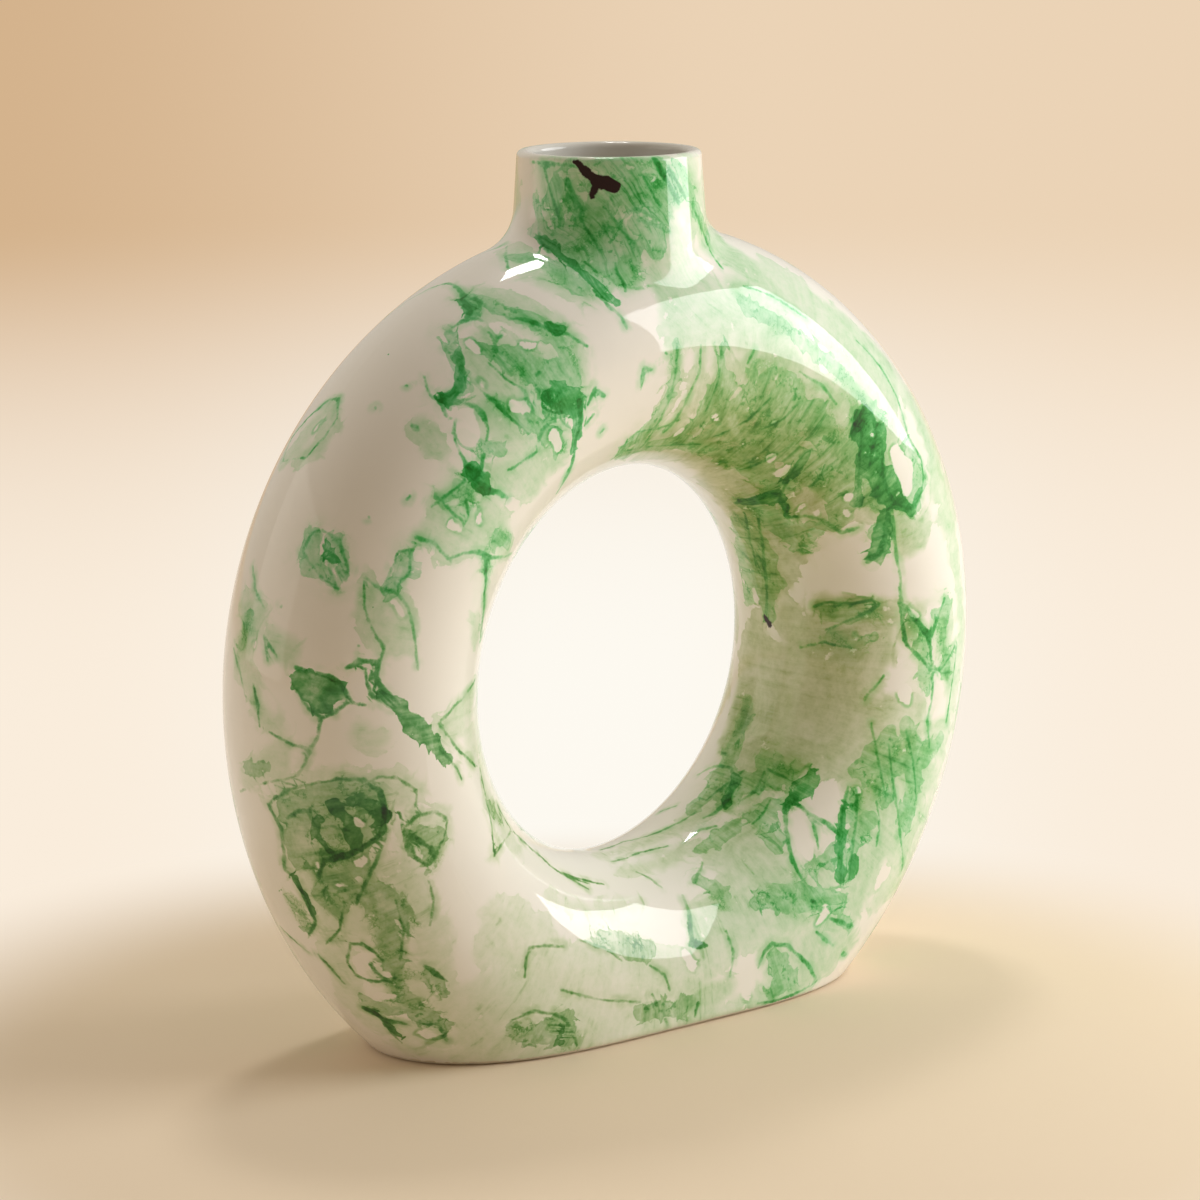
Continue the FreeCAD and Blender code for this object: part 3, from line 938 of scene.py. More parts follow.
# Left bare: white cells inside the green
bare_spots = {
    "upper cluster": (
        crown_part,
        ((372, 776, 18), (380, 790, 14)),
        ((490, 838, 18), (515, 842, 16)),
        ((292, 682, 11),),
        ((255, 1130, 40), (280, 1200, 40)),
        ((450, 1080, 30), (500, 1090, 20)),
        ((606, 1196, 26), (620, 1240, 20)),
        ((648, 1132, 10),),
        ((275, 830, 22), (300, 860, 24)),
        ((310, 980, 14), (330, 1000, 14)),
        ((1100, 1186, 8), (1075, 1204, 8)),
        ((512, 320, 26), (515, 350, 22)),
    ),
    "shoulder": (
        right_part,
        ((1075, 436, 15),),
        ((1070, 486, 9), (1076, 496, 8)),
        ((960, 497, 9),),
        ((826, 345, 24), (850, 330, 12)),
        ((785, 290, 22), (800, 282, 16)),
        ((905, 480, 10), (885, 496, 8)),
        ((1140, 268, 10),),
        ((1166, 208, 7),),
        ((1250, 270, 30), (1290, 340, 46), (1300, 400, 30)),
        ((440, 200, 14), (460, 180, 10)),
        ((580, 130, 9), (590, 160, 9)),
    ),
    "right limb": (
        right_part,
        ((1290, 1168, 36), (1300, 1200, 16)),
        ((960, 650, 14), (975, 680, 12)),
        ((1030, 720, 60), (1150, 740, 70), (1230, 740, 30)),
        ((1100, 955, 10),),
        ((1330, 880, 18), (1310, 860, 10)),
    ),
    "left limb": (
        left_part,
        ((396, 190, 14), (424, 152, 10)),
        ((690, 836, 14), (715, 880, 14)),
        ((165, 985, 12),),
        ((620, 1080, 10), (590, 1090, 8)),
        ((905, 540, 20), (940, 560, 14)),
        ((1010, 530, 20), (1000, 500, 14)),
    ),
    "low left": (
        low_left_part,
        ((480, 300, 17), (488, 312, 14)),
        ((322, 470, 12), (320, 496, 11)),
        ((402, 545, 11), (432, 552, 9)),
        ((490, 820, 30), (520, 880, 30), (590, 880, 20)),
        ((560, 952, 22), (610, 958, 16)),
        ((620, 400, 14),),
        ((760, 1090, 34), (720, 1100, 20)),
        ((480, 460, 16), (500, 440, 12)),
        ((650, 720, 12), (655, 750, 12)),
    ),
    "low right": (
        low_right_part,
        ((892, 286, 30), (902, 360, 38), (920, 430, 20)),
        ((1107, 190, 13),),
        ((1075, 248, 7),),
        ((1070, 325, 10),),
        ((1078, 393, 12),),
        ((692, 938, 24), (700, 960, 20)),
        ((990, 640, 24), (960, 690, 14)),
        ((1010, 190, 36), (1020, 260, 30)),
        ((470, 800, 24), (500, 840, 20)),
    ),
}

# Thin ink lines
lines = {
    "low edge of the hole": (
        whole_picture,
        ((600, 850, 0.8), (622, 842, 1.1), (648, 836, 0.9), (676, 824, 1.2), (696, 812, 0.8)),
        ((612, 862, 0.7), (640, 852, 1.0), (668, 846, 0.7)),
        ((684, 842, 0.8), (700, 830, 1.1), (716, 826, 0.7)),
        ((706, 800, 0.8), (722, 788, 1.0), (744, 770, 0.8)),
        ((636, 872, 0.7), (652, 880, 1.1), (662, 888, 0.7)),
        ((660, 812, 0.8), (676, 806, 1.0)),
        ((560, 872, 0.8), (584, 880, 1.0), (604, 884, 0.7)),
    ),
    "hair lines on the veils": (
        whole_picture,
        ((742, 800, 0.8), (756, 790, 1.1), (764, 772, 0.8)),
        ((770, 800, 0.7), (762, 816, 0.9), (752, 824, 0.7)),
        ((864, 700, 0.7), (872, 690, 0.9), (884, 676, 0.7)),
        ((800, 648, 0.7), (824, 642, 0.9), (850, 648, 0.7)),
        ((876, 800, 0.7), (880, 820, 1.0), (876, 846, 0.7)),
        ((580, 940, 0.7), (604, 948, 0.9), (622, 960, 0.7)),
        ((650, 966, 0.7), (664, 974, 0.8), (670, 990, 0.7)),
        ((726, 930, 0.7), (734, 952, 1.0), (730, 976, 0.7)),
        ((396, 900, 0.7), (404, 930, 0.9), (400, 960, 0.7)),
        ((344, 902, 0.7), (340, 930, 0.9), (326, 944, 0.7)),
        ((428, 880, 0.7), (434, 900, 0.9), (430, 926, 0.7)),
        ((760, 430, 0.8), (782, 420, 1.1), (800, 402, 0.8)),
        ((740, 470, 0.8), (766, 460, 1.1), (790, 446, 0.8)),
        ((812, 486, 0.8), (824, 470, 1.2), (838, 460, 0.8)),
        ((800, 372, 0.7), (822, 386, 1.0), (836, 404, 0.8)),
        ((744, 286, 0.7), (772, 296, 0.9), (806, 318, 0.7)),
        ((856, 340, 0.8), (880, 366, 1.2), (898, 400, 1.2), (908, 436, 0.8)),
    ),
    "neck": (
        whole_picture,
        ((533, 162, 1.2), (552, 164, 1.6), (573, 166, 1.2)),
        ((567, 182, 2.6), (570, 187, 1.2), (584, 214, 0.9)),
        ((604, 206, 1.0), (624, 232, 1.2), (634, 244, 0.8)),
        ((655, 160, 2.2), (670, 186, 1.8), (679, 203, 1.2)),
        ((668, 168, 1.2), (680, 186, 2.0), (685, 198, 1.4)),
        ((627, 212, 0.9), (637, 209, 1.2), (655, 218, 1.2), (670, 232, 1.4)),
        ((636, 219, 0.8), (652, 224, 1.4), (666, 232, 1.0)),
        ((692, 204, 1.3), (706, 240, 1.6), (717, 262, 1.0), (722, 268, 0.8)),
        ((545, 170, 0.8), (552, 196, 0.9), (560, 224, 0.7)),
        ((571, 196, 0.8), (585, 226, 0.8), (600, 252, 0.7)),
        ((610, 196, 0.8), (622, 222, 0.9), (634, 250, 0.7)),
        ((644, 178, 0.8), (660, 206, 0.8)),
        ((538, 228, 1.2), (540, 240, 2.0), (549, 252, 1.6)),
        ((594, 290, 1.6), (609, 306, 2.0), (622, 318, 1.2), (627, 329, 0.8)),
        ((615, 262, 0.7), (618, 274, 1.4), (624, 284, 1.6), (625, 291, 0.8)),
        ((604, 227, 1.0), (607, 234, 0.7)),
        ((585, 262, 0.7), (597, 272, 0.9)),
        ((507, 246, 0.8), (505, 255, 1.0), (508, 268, 0.8)),
        ((503, 245, 0.8), (480, 252, 0.8), (452, 268, 0.7)),
        ((400, 306, 0.8), (431, 288, 1.1), (448, 283, 1.2), (458, 288, 1.1), (464, 296, 1.4)),
    ),
    "upper cluster": (
        whole_picture,
        ((464, 296, 2.2), (467, 306, 2.2), (469, 316, 3.0), (482, 321, 0.8)),
        ((469, 318, 2.6), (461, 322, 1.8), (453, 328, 1.0)),
        ((466, 299, 1.0), (475, 299, 1.4), (481, 303, 1.4), (479, 311, 1.2), (471, 313, 1.4)),
        (
            (507, 319, 0.9), (521, 319, 1.6), (538, 324, 1.6), (556, 333, 2.6), (566, 333, 1.2),
            (572, 338, 0.7),
        ),
        ((572, 338, 0.7), (580, 341, 1.4), (588, 346, 1.0)),
        ((489, 333, 0.8), (493, 338, 1.2), (497, 339, 1.2), (503, 335, 0.8)),
        ((495, 341, 0.8), (495, 350, 2.6), (495, 352, 2.2)),
        ((446, 350, 2.0), (450, 353, 0.9), (460, 354, 1.2)),
        (
            (461, 356, 1.8), (461, 372, 2.6), (460, 386, 3.0), (452, 392, 1.8), (440, 400, 3.4),
            (447, 416, 1.6),
        ),
        ((424, 375, 0.6), (428, 392, 0.8), (437, 402, 0.8)),
        ((461, 403, 1.2), (474, 406, 1.8), (483, 415, 2.2), (488, 428, 1.2), (487, 440, 0.8)),
        ((455, 421, 1.6), (454, 432, 1.6), (458, 448, 1.0), (464, 462, 1.4)),
        ((464, 462, 2.0), (470, 472, 4.6), (481, 470, 1.8), (484, 455, 1.4)),
        ((470, 472, 4.6), (480, 484, 3.2), (490, 491, 3.0), (500, 493, 1.6), (508, 498, 0.8)),
        ((482, 482, 1.4), (486, 494, 0.8)),
        ((488, 362, 0.8), (508, 380, 1.0), (526, 392, 0.8)),
        ((471, 382, 0.8), (490, 398, 1.2), (506, 414, 1.2), (528, 434, 0.8)),
        ((524, 392, 1.0), (528, 402, 1.6), (534, 412, 0.8)),
        ((536, 390, 1.6), (548, 390, 1.2), (560, 392, 1.8)),
        ((538, 398, 1.2), (552, 402, 1.6), (562, 406, 1.2)),
        ((544, 412, 1.0), (556, 412, 1.4), (566, 416, 1.4)),
        ((539, 440, 1.8), (542, 430, 2.0), (550, 421, 1.4), (560, 419, 1.2), (570, 428, 1.0)),
        (
            (579, 402, 2.4), (581, 420, 2.6), (576, 440, 1.8), (573, 460, 2.0), (566, 478, 1.8),
            (556, 494, 1.2),
        ),
        ((595, 388, 1.8), (588, 404, 0.9)),
        ((598, 392, 2.4), (604, 396, 1.6)),
        ((586, 424, 0.8), (594, 414, 0.7)),
        ((601, 432, 1.0), (604, 429, 1.4)),
        ((412, 424, 1.2), (414, 430, 1.8), (418, 431, 1.0)),
        ((466, 500, 1.0), (468, 516, 0.8), (464, 526, 0.7)),
        ((441, 501, 0.9), (452, 512, 0.8), (462, 520, 0.8)),
        ((532, 456, 1.2), (537, 452, 0.9)),
        ((508, 470, 0.8), (517, 466, 1.0), (528, 458, 0.7)),
    ),
    "crown": (
        whole_picture,
        ((677, 345, 0.9), (675, 374, 1.0), (668, 402, 1.2), (655, 428, 1.0), (640, 448, 1.2)),
        ((701, 345, 0.9), (699, 372, 1.4), (688, 396, 1.2), (676, 420, 1.2), (664, 432, 1.0)),
        ((645, 368, 1.6), (643, 376, 2.0), (641, 389, 0.9)),
        ((645, 368, 1.6), (652, 370, 0.7)),
        ((722, 344, 0.7), (718, 380, 0.8), (706, 410, 0.8)),
        ((747, 364, 1.2), (754, 350, 0.8)),
        ((611, 460, 1.2), (620, 453, 1.0), (627, 440, 0.8)),
        ((636, 432, 0.8), (660, 428, 1.0), (680, 420, 0.8)),
        ((628, 450, 1.0), (664, 446, 1.2), (700, 444, 0.9)),
        ((716, 436, 0.9), (748, 420, 0.8), (770, 398, 0.8)),
    ),
    "shoulder": (
        whole_picture,
        ((735, 503, 1.4), (745, 500, 2.0), (758, 498, 2.8), (770, 493, 2.4), (782, 494, 1.6)),
        ((780, 500, 2.6), (786, 508, 2.2), (785, 515, 1.6), (788, 518, 0.7)),
        ((782, 492, 1.0), (790, 474, 1.2), (800, 460, 1.3), (804, 452, 1.1), (812, 450, 0.8)),
        ((863, 410, 2.0), (855, 424, 2.2), (850, 436, 1.2)),
        ((866, 412, 1.2), (862, 432, 1.6), (860, 450, 1.4), (859, 480, 1.2), (857, 506, 0.9)),
        ((872, 414, 2.2), (876, 432, 2.6), (872, 452, 1.4), (868, 470, 1.2)),
        ((880, 424, 1.4), (882, 450, 1.2), (883, 474, 1.4), (889, 494, 1.8), (895, 503, 1.4)),
        (
            (895, 503, 1.4), (904, 508, 1.6), (915, 508, 1.4), (921, 496, 1.0), (923, 476, 0.9),
            (921, 458, 0.9), (910, 440, 1.0),
        ),
        ((892, 508, 1.4), (893, 524, 1.3), (896, 552, 1.1), (900, 578, 0.9), (901, 600, 1.3)),
        ((888, 512, 2.0), (884, 540, 2.4), (878, 554, 2.6), (869, 560, 3.0)),
        ((841, 533, 1.2), (850, 530, 1.8), (858, 527, 0.9)),
        ((793, 517, 0.9), (808, 516, 1.1), (824, 520, 1.0), (840, 532, 1.2)),
        ((758, 519, 0.9), (762, 542, 1.2), (764, 567, 1.4), (767, 592, 1.6), (766, 612, 1.4)),
        ((744, 512, 0.8), (750, 540, 0.8), (756, 566, 0.7)),
    ),
    "right limb": (
        whole_picture,
        ((900, 602, 2.0), (914, 618, 1.6), (927, 634, 2.4), (930, 646, 1.6), (932, 670, 1.4)),
        ((944, 600, 1.2), (936, 622, 1.0), (930, 640, 1.4)),
        ((901, 601, 2.0), (902, 620, 1.4), (906, 644, 1.6), (920, 658, 1.2), (932, 671, 1.8)),
        ((932, 671, 1.8), (943, 667, 1.2), (951, 654, 0.9), (956, 642, 1.1)),
        ((932, 672, 1.6), (933, 690, 1.2), (931, 702, 1.2), (927, 718, 1.0), (929, 748, 0.8)),
        ((957, 642, 1.0), (952, 684, 1.0), (946, 722, 0.8)),
        ((888, 744, 0.7), (891, 770, 0.9), (895, 794, 1.0), (900, 836, 1.1), (902, 870, 0.8)),
        ((872, 724, 0.7), (878, 760, 0.8), (886, 800, 0.7)),
        ((906, 730, 0.7), (914, 770, 0.8), (916, 800, 0.7)),
        ((878, 604, 1.0), (868, 612, 1.2), (846, 622, 0.9), (826, 630, 0.8)),
        ((814, 606, 0.8), (830, 602, 0.8), (852, 604, 0.9), (872, 600, 0.8)),
    ),
    "left limb": (
        whole_picture,
        (
            (282, 462, 0.8), (292, 438, 1.0), (306, 420, 1.1), (328, 401, 1.2), (339, 399, 1.1),
            (337, 418, 1.1),
        ),
        ((337, 418, 1.1), (324, 438, 1.0), (306, 458, 1.0), (283, 462, 0.8)),
        (
            (303, 552, 0.9), (312, 532, 1.1), (322, 530, 1.4), (338, 540, 1.3), (348, 568, 1.2),
            (345, 580, 1.4),
        ),
        (
            (345, 580, 1.4), (336, 568, 1.2), (328, 562, 1.0), (337, 588, 1.4), (318, 574, 1.0),
            (303, 552, 0.9),
        ),
        (
            (384, 594, 1.0), (390, 572, 1.0), (398, 552, 1.6), (411, 549, 1.2), (409, 572, 1.0),
            (398, 586, 0.8),
        ),
        (
            (365, 578, 0.9), (381, 589, 1.4), (396, 592, 1.2), (408, 608, 1.2), (414, 632, 1.2),
            (418, 670, 0.8),
        ),
        ((364, 579, 0.8), (364, 606, 0.9), (373, 632, 1.0), (384, 647, 1.4), (381, 659, 0.9)),
        ((253, 567, 0.9), (256, 589, 1.2), (264, 608, 0.8)),
        ((264, 636, 1.2), (277, 656, 0.9)),
        ((264, 638, 1.0), (268, 660, 0.8)),
        ((234, 648, 0.8), (240, 672, 1.2), (246, 697, 0.8)),
        ((253, 683, 1.0), (258, 704, 1.1), (260, 726, 0.7)),
        ((296, 668, 1.6), (312, 672, 2.0), (328, 677, 2.4), (341, 683, 2.0), (350, 700, 1.2)),
        ((350, 700, 1.2), (336, 712, 1.2), (322, 718, 1.4), (309, 709, 1.0), (292, 682, 0.9)),
        ((341, 688, 1.0), (354, 704, 1.2), (365, 705, 0.8)),
        ((321, 718, 1.4), (318, 738, 1.2), (311, 750, 1.2), (291, 744, 1.0), (270, 732, 0.9)),
        ((311, 750, 1.2), (297, 776, 0.9), (265, 783, 0.8), (240, 791, 0.8)),
        ((347, 667, 1.6), (360, 661, 2.2), (380, 661, 1.4)),
        ((379, 661, 1.6), (375, 680, 2.6), (388, 694, 2.0), (398, 704, 1.6)),
        ((365, 672, 1.0), (371, 695, 1.4), (392, 708, 1.2)),
        ((440, 748, 1.4), (456, 768, 0.9), (462, 780, 0.7)),
        ((448, 559, 1.6), (464, 553, 1.4), (478, 551, 1.6), (492, 558, 1.6), (512, 553, 0.8)),
        ((432, 506, 1.2), (448, 494, 1.2), (464, 482, 1.0)),
        ((416, 538, 1.0), (434, 543, 1.2), (450, 562, 1.0)),
        ((486, 559, 2.0), (485, 590, 1.3), (483, 620, 1.0), (480, 638, 0.7)),
        ((475, 680, 0.8), (456, 704, 0.9), (438, 723, 1.2), (456, 748, 0.9), (475, 766, 0.8)),
    ),
    "low left": (
        whole_picture,
        (
            (268, 804, 0.9), (289, 788, 1.1), (312, 784, 1.0), (337, 779, 1.1), (364, 780, 1.4),
            (379, 791, 1.6),
        ),
        (
            (379, 791, 2.0), (385, 812, 2.4), (383, 834, 2.4), (366, 846, 2.0), (348, 855, 2.6),
            (324, 861, 2.0), (318, 877, 1.4),
        ),
        (
            (268, 804, 1.2), (281, 828, 1.6), (284, 852, 1.6), (284, 869, 1.4), (297, 879, 1.8),
            (304, 896, 1.6), (316, 922, 1.4), (308, 938, 0.8),
        ),
        ((288, 818, 1.6), (296, 812, 2.2), (308, 811, 1.8), (311, 820, 1.0)),
        ((399, 812, 1.0), (404, 832, 1.1), (408, 855, 0.8)),
        ((385, 838, 1.2), (376, 862, 1.2), (365, 884, 1.2), (356, 905, 1.0)),
        (
            (404, 828, 1.0), (418, 815, 1.2), (436, 811, 1.4), (447, 820, 1.3), (443, 840, 1.2),
            (428, 866, 1.6), (415, 858, 1.4), (405, 830, 1.0),
        ),
        ((409, 834, 1.6), (420, 842, 2.2), (434, 850, 1.8), (440, 842, 1.2)),
        ((380, 777, 0.8), (398, 778, 0.9), (416, 790, 1.0), (416, 806, 0.8)),
        ((423, 965, 0.8), (432, 970, 2.2), (440, 977, 1.8), (448, 982, 0.8)),
        ((350, 944, 1.0), (362, 943, 1.2), (374, 952, 1.4), (384, 962, 1.0)),
        ((350, 945, 1.0), (348, 964, 1.2), (357, 976, 1.2), (372, 982, 1.3), (396, 977, 1.0)),
        ((371, 964, 2.0), (376, 973, 1.4), (392, 983, 0.9)),
        ((364, 1008, 2.0), (374, 1012, 2.6), (384, 1020, 2.8), (398, 1022, 1.6), (406, 1024, 0.9)),
        ((384, 1020, 2.4), (392, 1032, 1.8), (402, 1043, 0.9)),
        ((265, 911, 0.8), (280, 926, 1.2), (294, 940, 1.2), (309, 953, 0.8)),
        ((318, 954, 0.9), (331, 968, 1.4), (345, 984, 0.9)),
        ((423, 1024, 0.9), (438, 1024, 1.0), (447, 1040, 0.8)),
        (
            (511, 1021, 0.9), (524, 1014, 1.0), (534, 1011, 1.2), (552, 1013, 1.2),
            (566, 1019, 1.4), (572, 1032, 1.2), (577, 1046, 0.8),
        ),
        ((548, 1020, 0.8), (550, 1034, 0.9)),
        ((558, 1022, 0.8), (562, 1038, 1.0)),
        (
            (480, 768, 0.8), (489, 808, 1.2), (494, 855, 0.9), (503, 842, 0.8), (511, 830, 1.0),
            (498, 806, 0.9),
        ),
        (
            (513, 831, 0.9), (526, 844, 1.2), (540, 856, 1.6), (556, 870, 1.4), (568, 877, 1.2),
            (588, 889, 0.8),
        ),
        ((525, 977, 0.8), (526, 960, 0.9), (529, 948, 1.0), (541, 946, 0.9), (564, 946, 0.8)),
        ((310, 830, 0.8), (330, 826, 1.0), (352, 832, 0.9)),
    ),
    "low right": (
        whole_picture,
        (
            (697, 775, 0.9), (714, 766, 1.2), (731, 768, 2.0), (736, 780, 1.6), (728, 800, 2.2),
            (716, 812, 1.4), (704, 818, 0.9),
        ),
        ((785, 804, 1.6), (786, 828, 1.5), (789, 846, 1.4), (793, 861, 1.3), (802, 880, 0.8)),
        ((796, 804, 1.4), (810, 814, 1.4), (824, 821, 1.8), (841, 836, 2.0)),
        ((802, 806, 0.8), (815, 826, 0.9), (818, 848, 0.8)),
        ((848, 788, 0.9), (844, 804, 1.4), (841, 822, 1.6), (840, 853, 1.6), (841, 886, 0.9)),
        ((856, 790, 0.9), (856, 820, 1.4), (852, 850, 1.4), (848, 882, 0.9)),
        ((683, 895, 0.9), (689, 914, 1.4), (690, 930, 1.8), (692, 944, 2.8), (706, 946, 2.0)),
        ((694, 882, 1.6), (699, 872, 1.3), (703, 862, 0.8)),
        (
            (758, 968, 0.9), (764, 952, 1.2), (772, 943, 1.4), (788, 946, 1.6), (800, 956, 1.6),
            (810, 968, 1.6), (817, 981, 1.2),
        ),
        ((817, 981, 1.2), (802, 990, 1.2), (788, 997, 1.4), (772, 1002, 1.0), (758, 1003, 0.8)),
        ((831, 919, 1.6), (842, 923, 2.0), (853, 926, 0.9)),
        ((817, 933, 0.9), (826, 940, 1.4), (833, 946, 0.8)),
        ((843, 954, 2.0), (846, 955, 1.2)),
        ((652, 994, 0.9), (656, 1002, 1.6), (659, 1012, 0.8)),
        ((663, 1011, 0.9), (667, 1025, 1.0)),
        ((698, 1004, 1.4), (695, 1016, 0.8)),
        ((645, 1008, 1.0), (648, 1009, 0.8)),
        ((560, 990, 0.7), (600, 1000, 0.8), (640, 1002, 0.7)),
        ((812, 900, 1.6), (815, 902, 1.0)),
    ),
    "specks": (
        whole_picture,
        ((406, 385, 1.0), (407, 386, 0.6)),
        ((375, 408, 1.0), (376, 409, 0.6)),
        ((416, 427, 1.8), (415, 430, 1.2)),
        ((407, 499, 1.2), (410, 495, 0.8)),
        ((368, 517, 1.0), (368, 518, 0.6)),
        ((281, 605, 1.2), (281, 607, 0.8)),
        ((359, 645, 1.0), (359, 646, 0.6)),
        ((374, 779, 1.0), (374, 780, 0.6)),
        ((536, 375, 1.2), (541, 372, 1.4)),
        ((666, 353, 0.8), (667, 354, 0.6)),
        ((776, 368, 0.8), (776, 369, 0.6)),
        ((508, 407, 0.7), (510, 409, 0.7)),
    ),
}

splashes = {
    "tip of the drip": (whole_picture, ((766, 618, 3.0), (770, 625, 3.4))),
    "under the lip": (
        whole_picture,
        ((576, 163, 3.2), (586, 171, 4.2), (594, 179, 5.2)),
        ((594, 180, 5.5), (604, 183, 6.5), (614, 187, 5.0), (615, 191, 2.2)),
        ((594, 182, 3.6), (592, 196, 2.4)),
    ),
}

# The marks are repeated on the back about this width of the photograph
mirror_across = 1192

# The ways to cast the marks, as signs of x and y: the photograph's own, the one from behind,
# and its mirror images, which reach the bands between those two
front_way = (1, 1)
back_way = (-1, -1)
side_ways = ((-1, 1), (1, -1))

# How squarely a face looks towards a view: the cosine at which it counts as edge on or aslant
edge_on = 0.12
out_of_sight = 0.05
aslant = 0.55
brush_room = 3 * mm


def sight(across, down, way):
    """The line of sight through a place in the photograph, cast one of the ways."""
    if way == back_way:
        across = mirror_across - across
    ray = (
        -away
        + camera_right * ((across - picture_side / 2) / focal_pixels)
        - camera_up * ((down - picture_side / 2) / focal_pixels)
    ).normalized()
    sign = Vector((*way, 1))
    return eye * sign, ray * sign


def hidden_from_front(spot, flat, search):
    """Whether the camera can't see a place, with room for a brush's width."""
    to_eye = (eye - spot).normalized()
    if flat.dot(to_eye) < -edge_on:
        return True
    return flat.dot(to_eye) > edge_on and search.ray_cast(spot + flat * brush_room, to_eye)[0] is not None


def between_views(spot, flat):
    """Whether a place is out of the camera's sight and aslant from behind too."""
    behind = Vector((-eye.x, -eye.y, eye.z))
    from_front = flat.dot((eye - spot).normalized())
    from_behind = flat.dot((behind - spot).normalized())
    return from_front < out_of_sight and from_behind < aslant


def mark_points(marks, search, ways=(front_way, back_way, *side_ways)):
    """Casts the marks onto the vase, each way in turn: chains in millimetres, with half widths."""
    chains = []
    for part, *strokes in marks.values():
        left, top, enlargement = part
        for stroke in strokes:
            for way in ways:
                placed = []
                for across, down, half_width in stroke:
                    start, ray = sight(left + across / enlargement, top + down / enlargement, way)
                    spot, flat, _, far = search.ray_cast(start, ray)
                    if spot is None:
                        continue
                    if way == back_way and not hidden_from_front(spot, flat, search):
                        continue
                    if way in side_ways and not between_views(spot, flat):
                        if placed:
                            chains.append(placed)
                            placed = []
                        continue
                    on_vase = half_width / enlargement * far / focal_pixels
                    placed.append((*(spot / mm), on_vase / mm))
                if placed:
                    chains.append(placed)
    return chains


def chain_distance(points, chains, blend):
    """Distance from each point to the nearest mark's edge, and the way to its middle line."""
    nothing_near = 60.0
    reach = 9.0
    shortest = 1e-6
    best = np.full(len(points), nothing_near)
    offset = np.full((len(points), 3), nothing_near)
    width = np.zeros(len(points))
    for chain in chains:
        links = list(zip(chain[:-1], chain[1:])) or [(chain[0], chain[0])]
        for first, last in links:
            a, b = np.array(first[:3]), np.array(last[:3])
            room = max(first[3], last[3]) + reach
            inside = (points > np.minimum(a, b) - room) & (points < np.maximum(a, b) + room)
            near = np.nonzero(inside.all(axis=1))[0]
            if not len(near):
                continue
            run = b - a
            from_a = points[near] - a
            share = np.clip(from_a @ run / max(float(run @ run), shortest), 0, 1)
            away_from = from_a - share[:, None] * run
            half = first[3] + share * (last[3] - first[3])
            gap = np.linalg.norm(away_from, axis=1) - half
            so_far = best[near]
            nearer = gap < so_far
            offset[near[nearer]] = away_from[nearer]
            width[near[nearer]] = half[nearer]
            if blend:
                mix = np.clip(0.5 + 0.5 * (so_far - gap) / blend, 0, 1)
                best[near] = so_far * (1 - mix) + gap * mix - blend * mix * (1 - mix)
            else:
                best[near] = np.minimum(so_far, gap)
    return best, offset, width


def store(mesh, name, kind, values):
    attribute = mesh.attributes.new(name, kind, "POINT")
    key = "vector" if kind == "FLOAT_VECTOR" else "value"
    attribute.data.foreach_set(key, np.ascontiguousarray(values).ravel())


# How softly touches of one kind run into each other, and how far the marks wander, in millimetres
blends = {"veil": 1.6, "wash": 1.0, "pool": 0.6, "bare": 0.5, "splash": 0.5}
wander_patch = 5
wander_reach = 0.9
line_wander = 0.3

# The noise that the marks wander by starts from the same seed in each run
noise.seed_set(1)


def paint(piece, marks):
    """Stores on a piece how far each of its points is from the marks."""
    mesh = piece.data
    points = np.empty(len(mesh.vertices) * 3)
    mesh.vertices.foreach_get("co", points)
    points = points.reshape(-1, 3) / mm
    wander = np.array([noise.noise_vector(Vector(point) / wander_patch) * wander_reach for point in points])
    for name, blend in blends.items():
        gap, _, _ = chain_distance(points + wander, marks[name], blend)
        store(mesh, name, "FLOAT", gap)
    gap, offset, width = chain_distance(points + wander * line_wander, marks["line"], 0)
    store(mesh, "line_gap", "FLOAT", gap)
    store(mesh, "line_offset", "FLOAT_VECTOR", offset)
    store(mesh, "line_width", "FLOAT", width)


# Glaze, in millimetres of the object's own space
cream = (0.88, 0.86, 0.79)
splash_brown = (0.022, 0.006, 0.006)
clay_colour = (0.70, 0.64, 0.53)
hole_middle = hole_height / mm
ring_middle = ring_radius / mm
streaked_ring = 85
streaked_neck = 26
neck_root = hole_middle + ring_middle + tube_radius / mm - 30

# How much red, green and blue the thick marks take away, and how much the pale veils do
marks_take = (0.98, 0.265, 0.66)
veils_take = (0.88, 0.30, 0.84)

# Past this thickness, more green darkens the glaze only in part
full_thickness = 2.2
past_full = 0.65

# Where the glaze inside starts, which stays white, though darkened inside the mouth as painted shade: from
# the mouth's middle, and from the tube's
mouth_edge = (21.6, 23.0)
tube_inside = (29.6, 31.0)


def mixed(tree, share, low, high):
    """A colour between two others, which may be wires."""
    node = tree.nodes.new("ShaderNodeMix")
    node.data_type = "RGBA"
    plug(tree, node.inputs["Factor"], share)
    for socket, value in ((node.inputs[6], low), (node.inputs[7], high)):
        plug(tree, socket, value if isinstance(value, Wire) else (*value, 1))
    return Wire(tree, node.outputs[2])


def noise_of(vector, scale, detail=2.0, roughness=0.5, distortion=0.0, w=None):
    """Soft noise about 0.5, its scale in patches to the millimetre."""
    tree = vector.tree
    node = tree.nodes.new("ShaderNodeTexNoise")
    if w is not None:
        node.noise_dimensions = "4D"
        plug(tree, node.inputs["W"], w)
    plug(tree, node.inputs["Vector"], vector)
    node.inputs["Scale"].default_value = scale
    node.inputs["Detail"].default_value = detail
    node.inputs["Roughness"].default_value = roughness
    node.inputs["Distortion"].default_value = distortion
    return Wire(tree, node.outputs["Fac"]), Wire(tree, node.outputs["Color"])


def attribute_of(tree, name, output="Fac"):
    node = tree.nodes.new("ShaderNodeAttribute")
    node.attribute_name = name
    return Wire(tree, node.outputs[output])


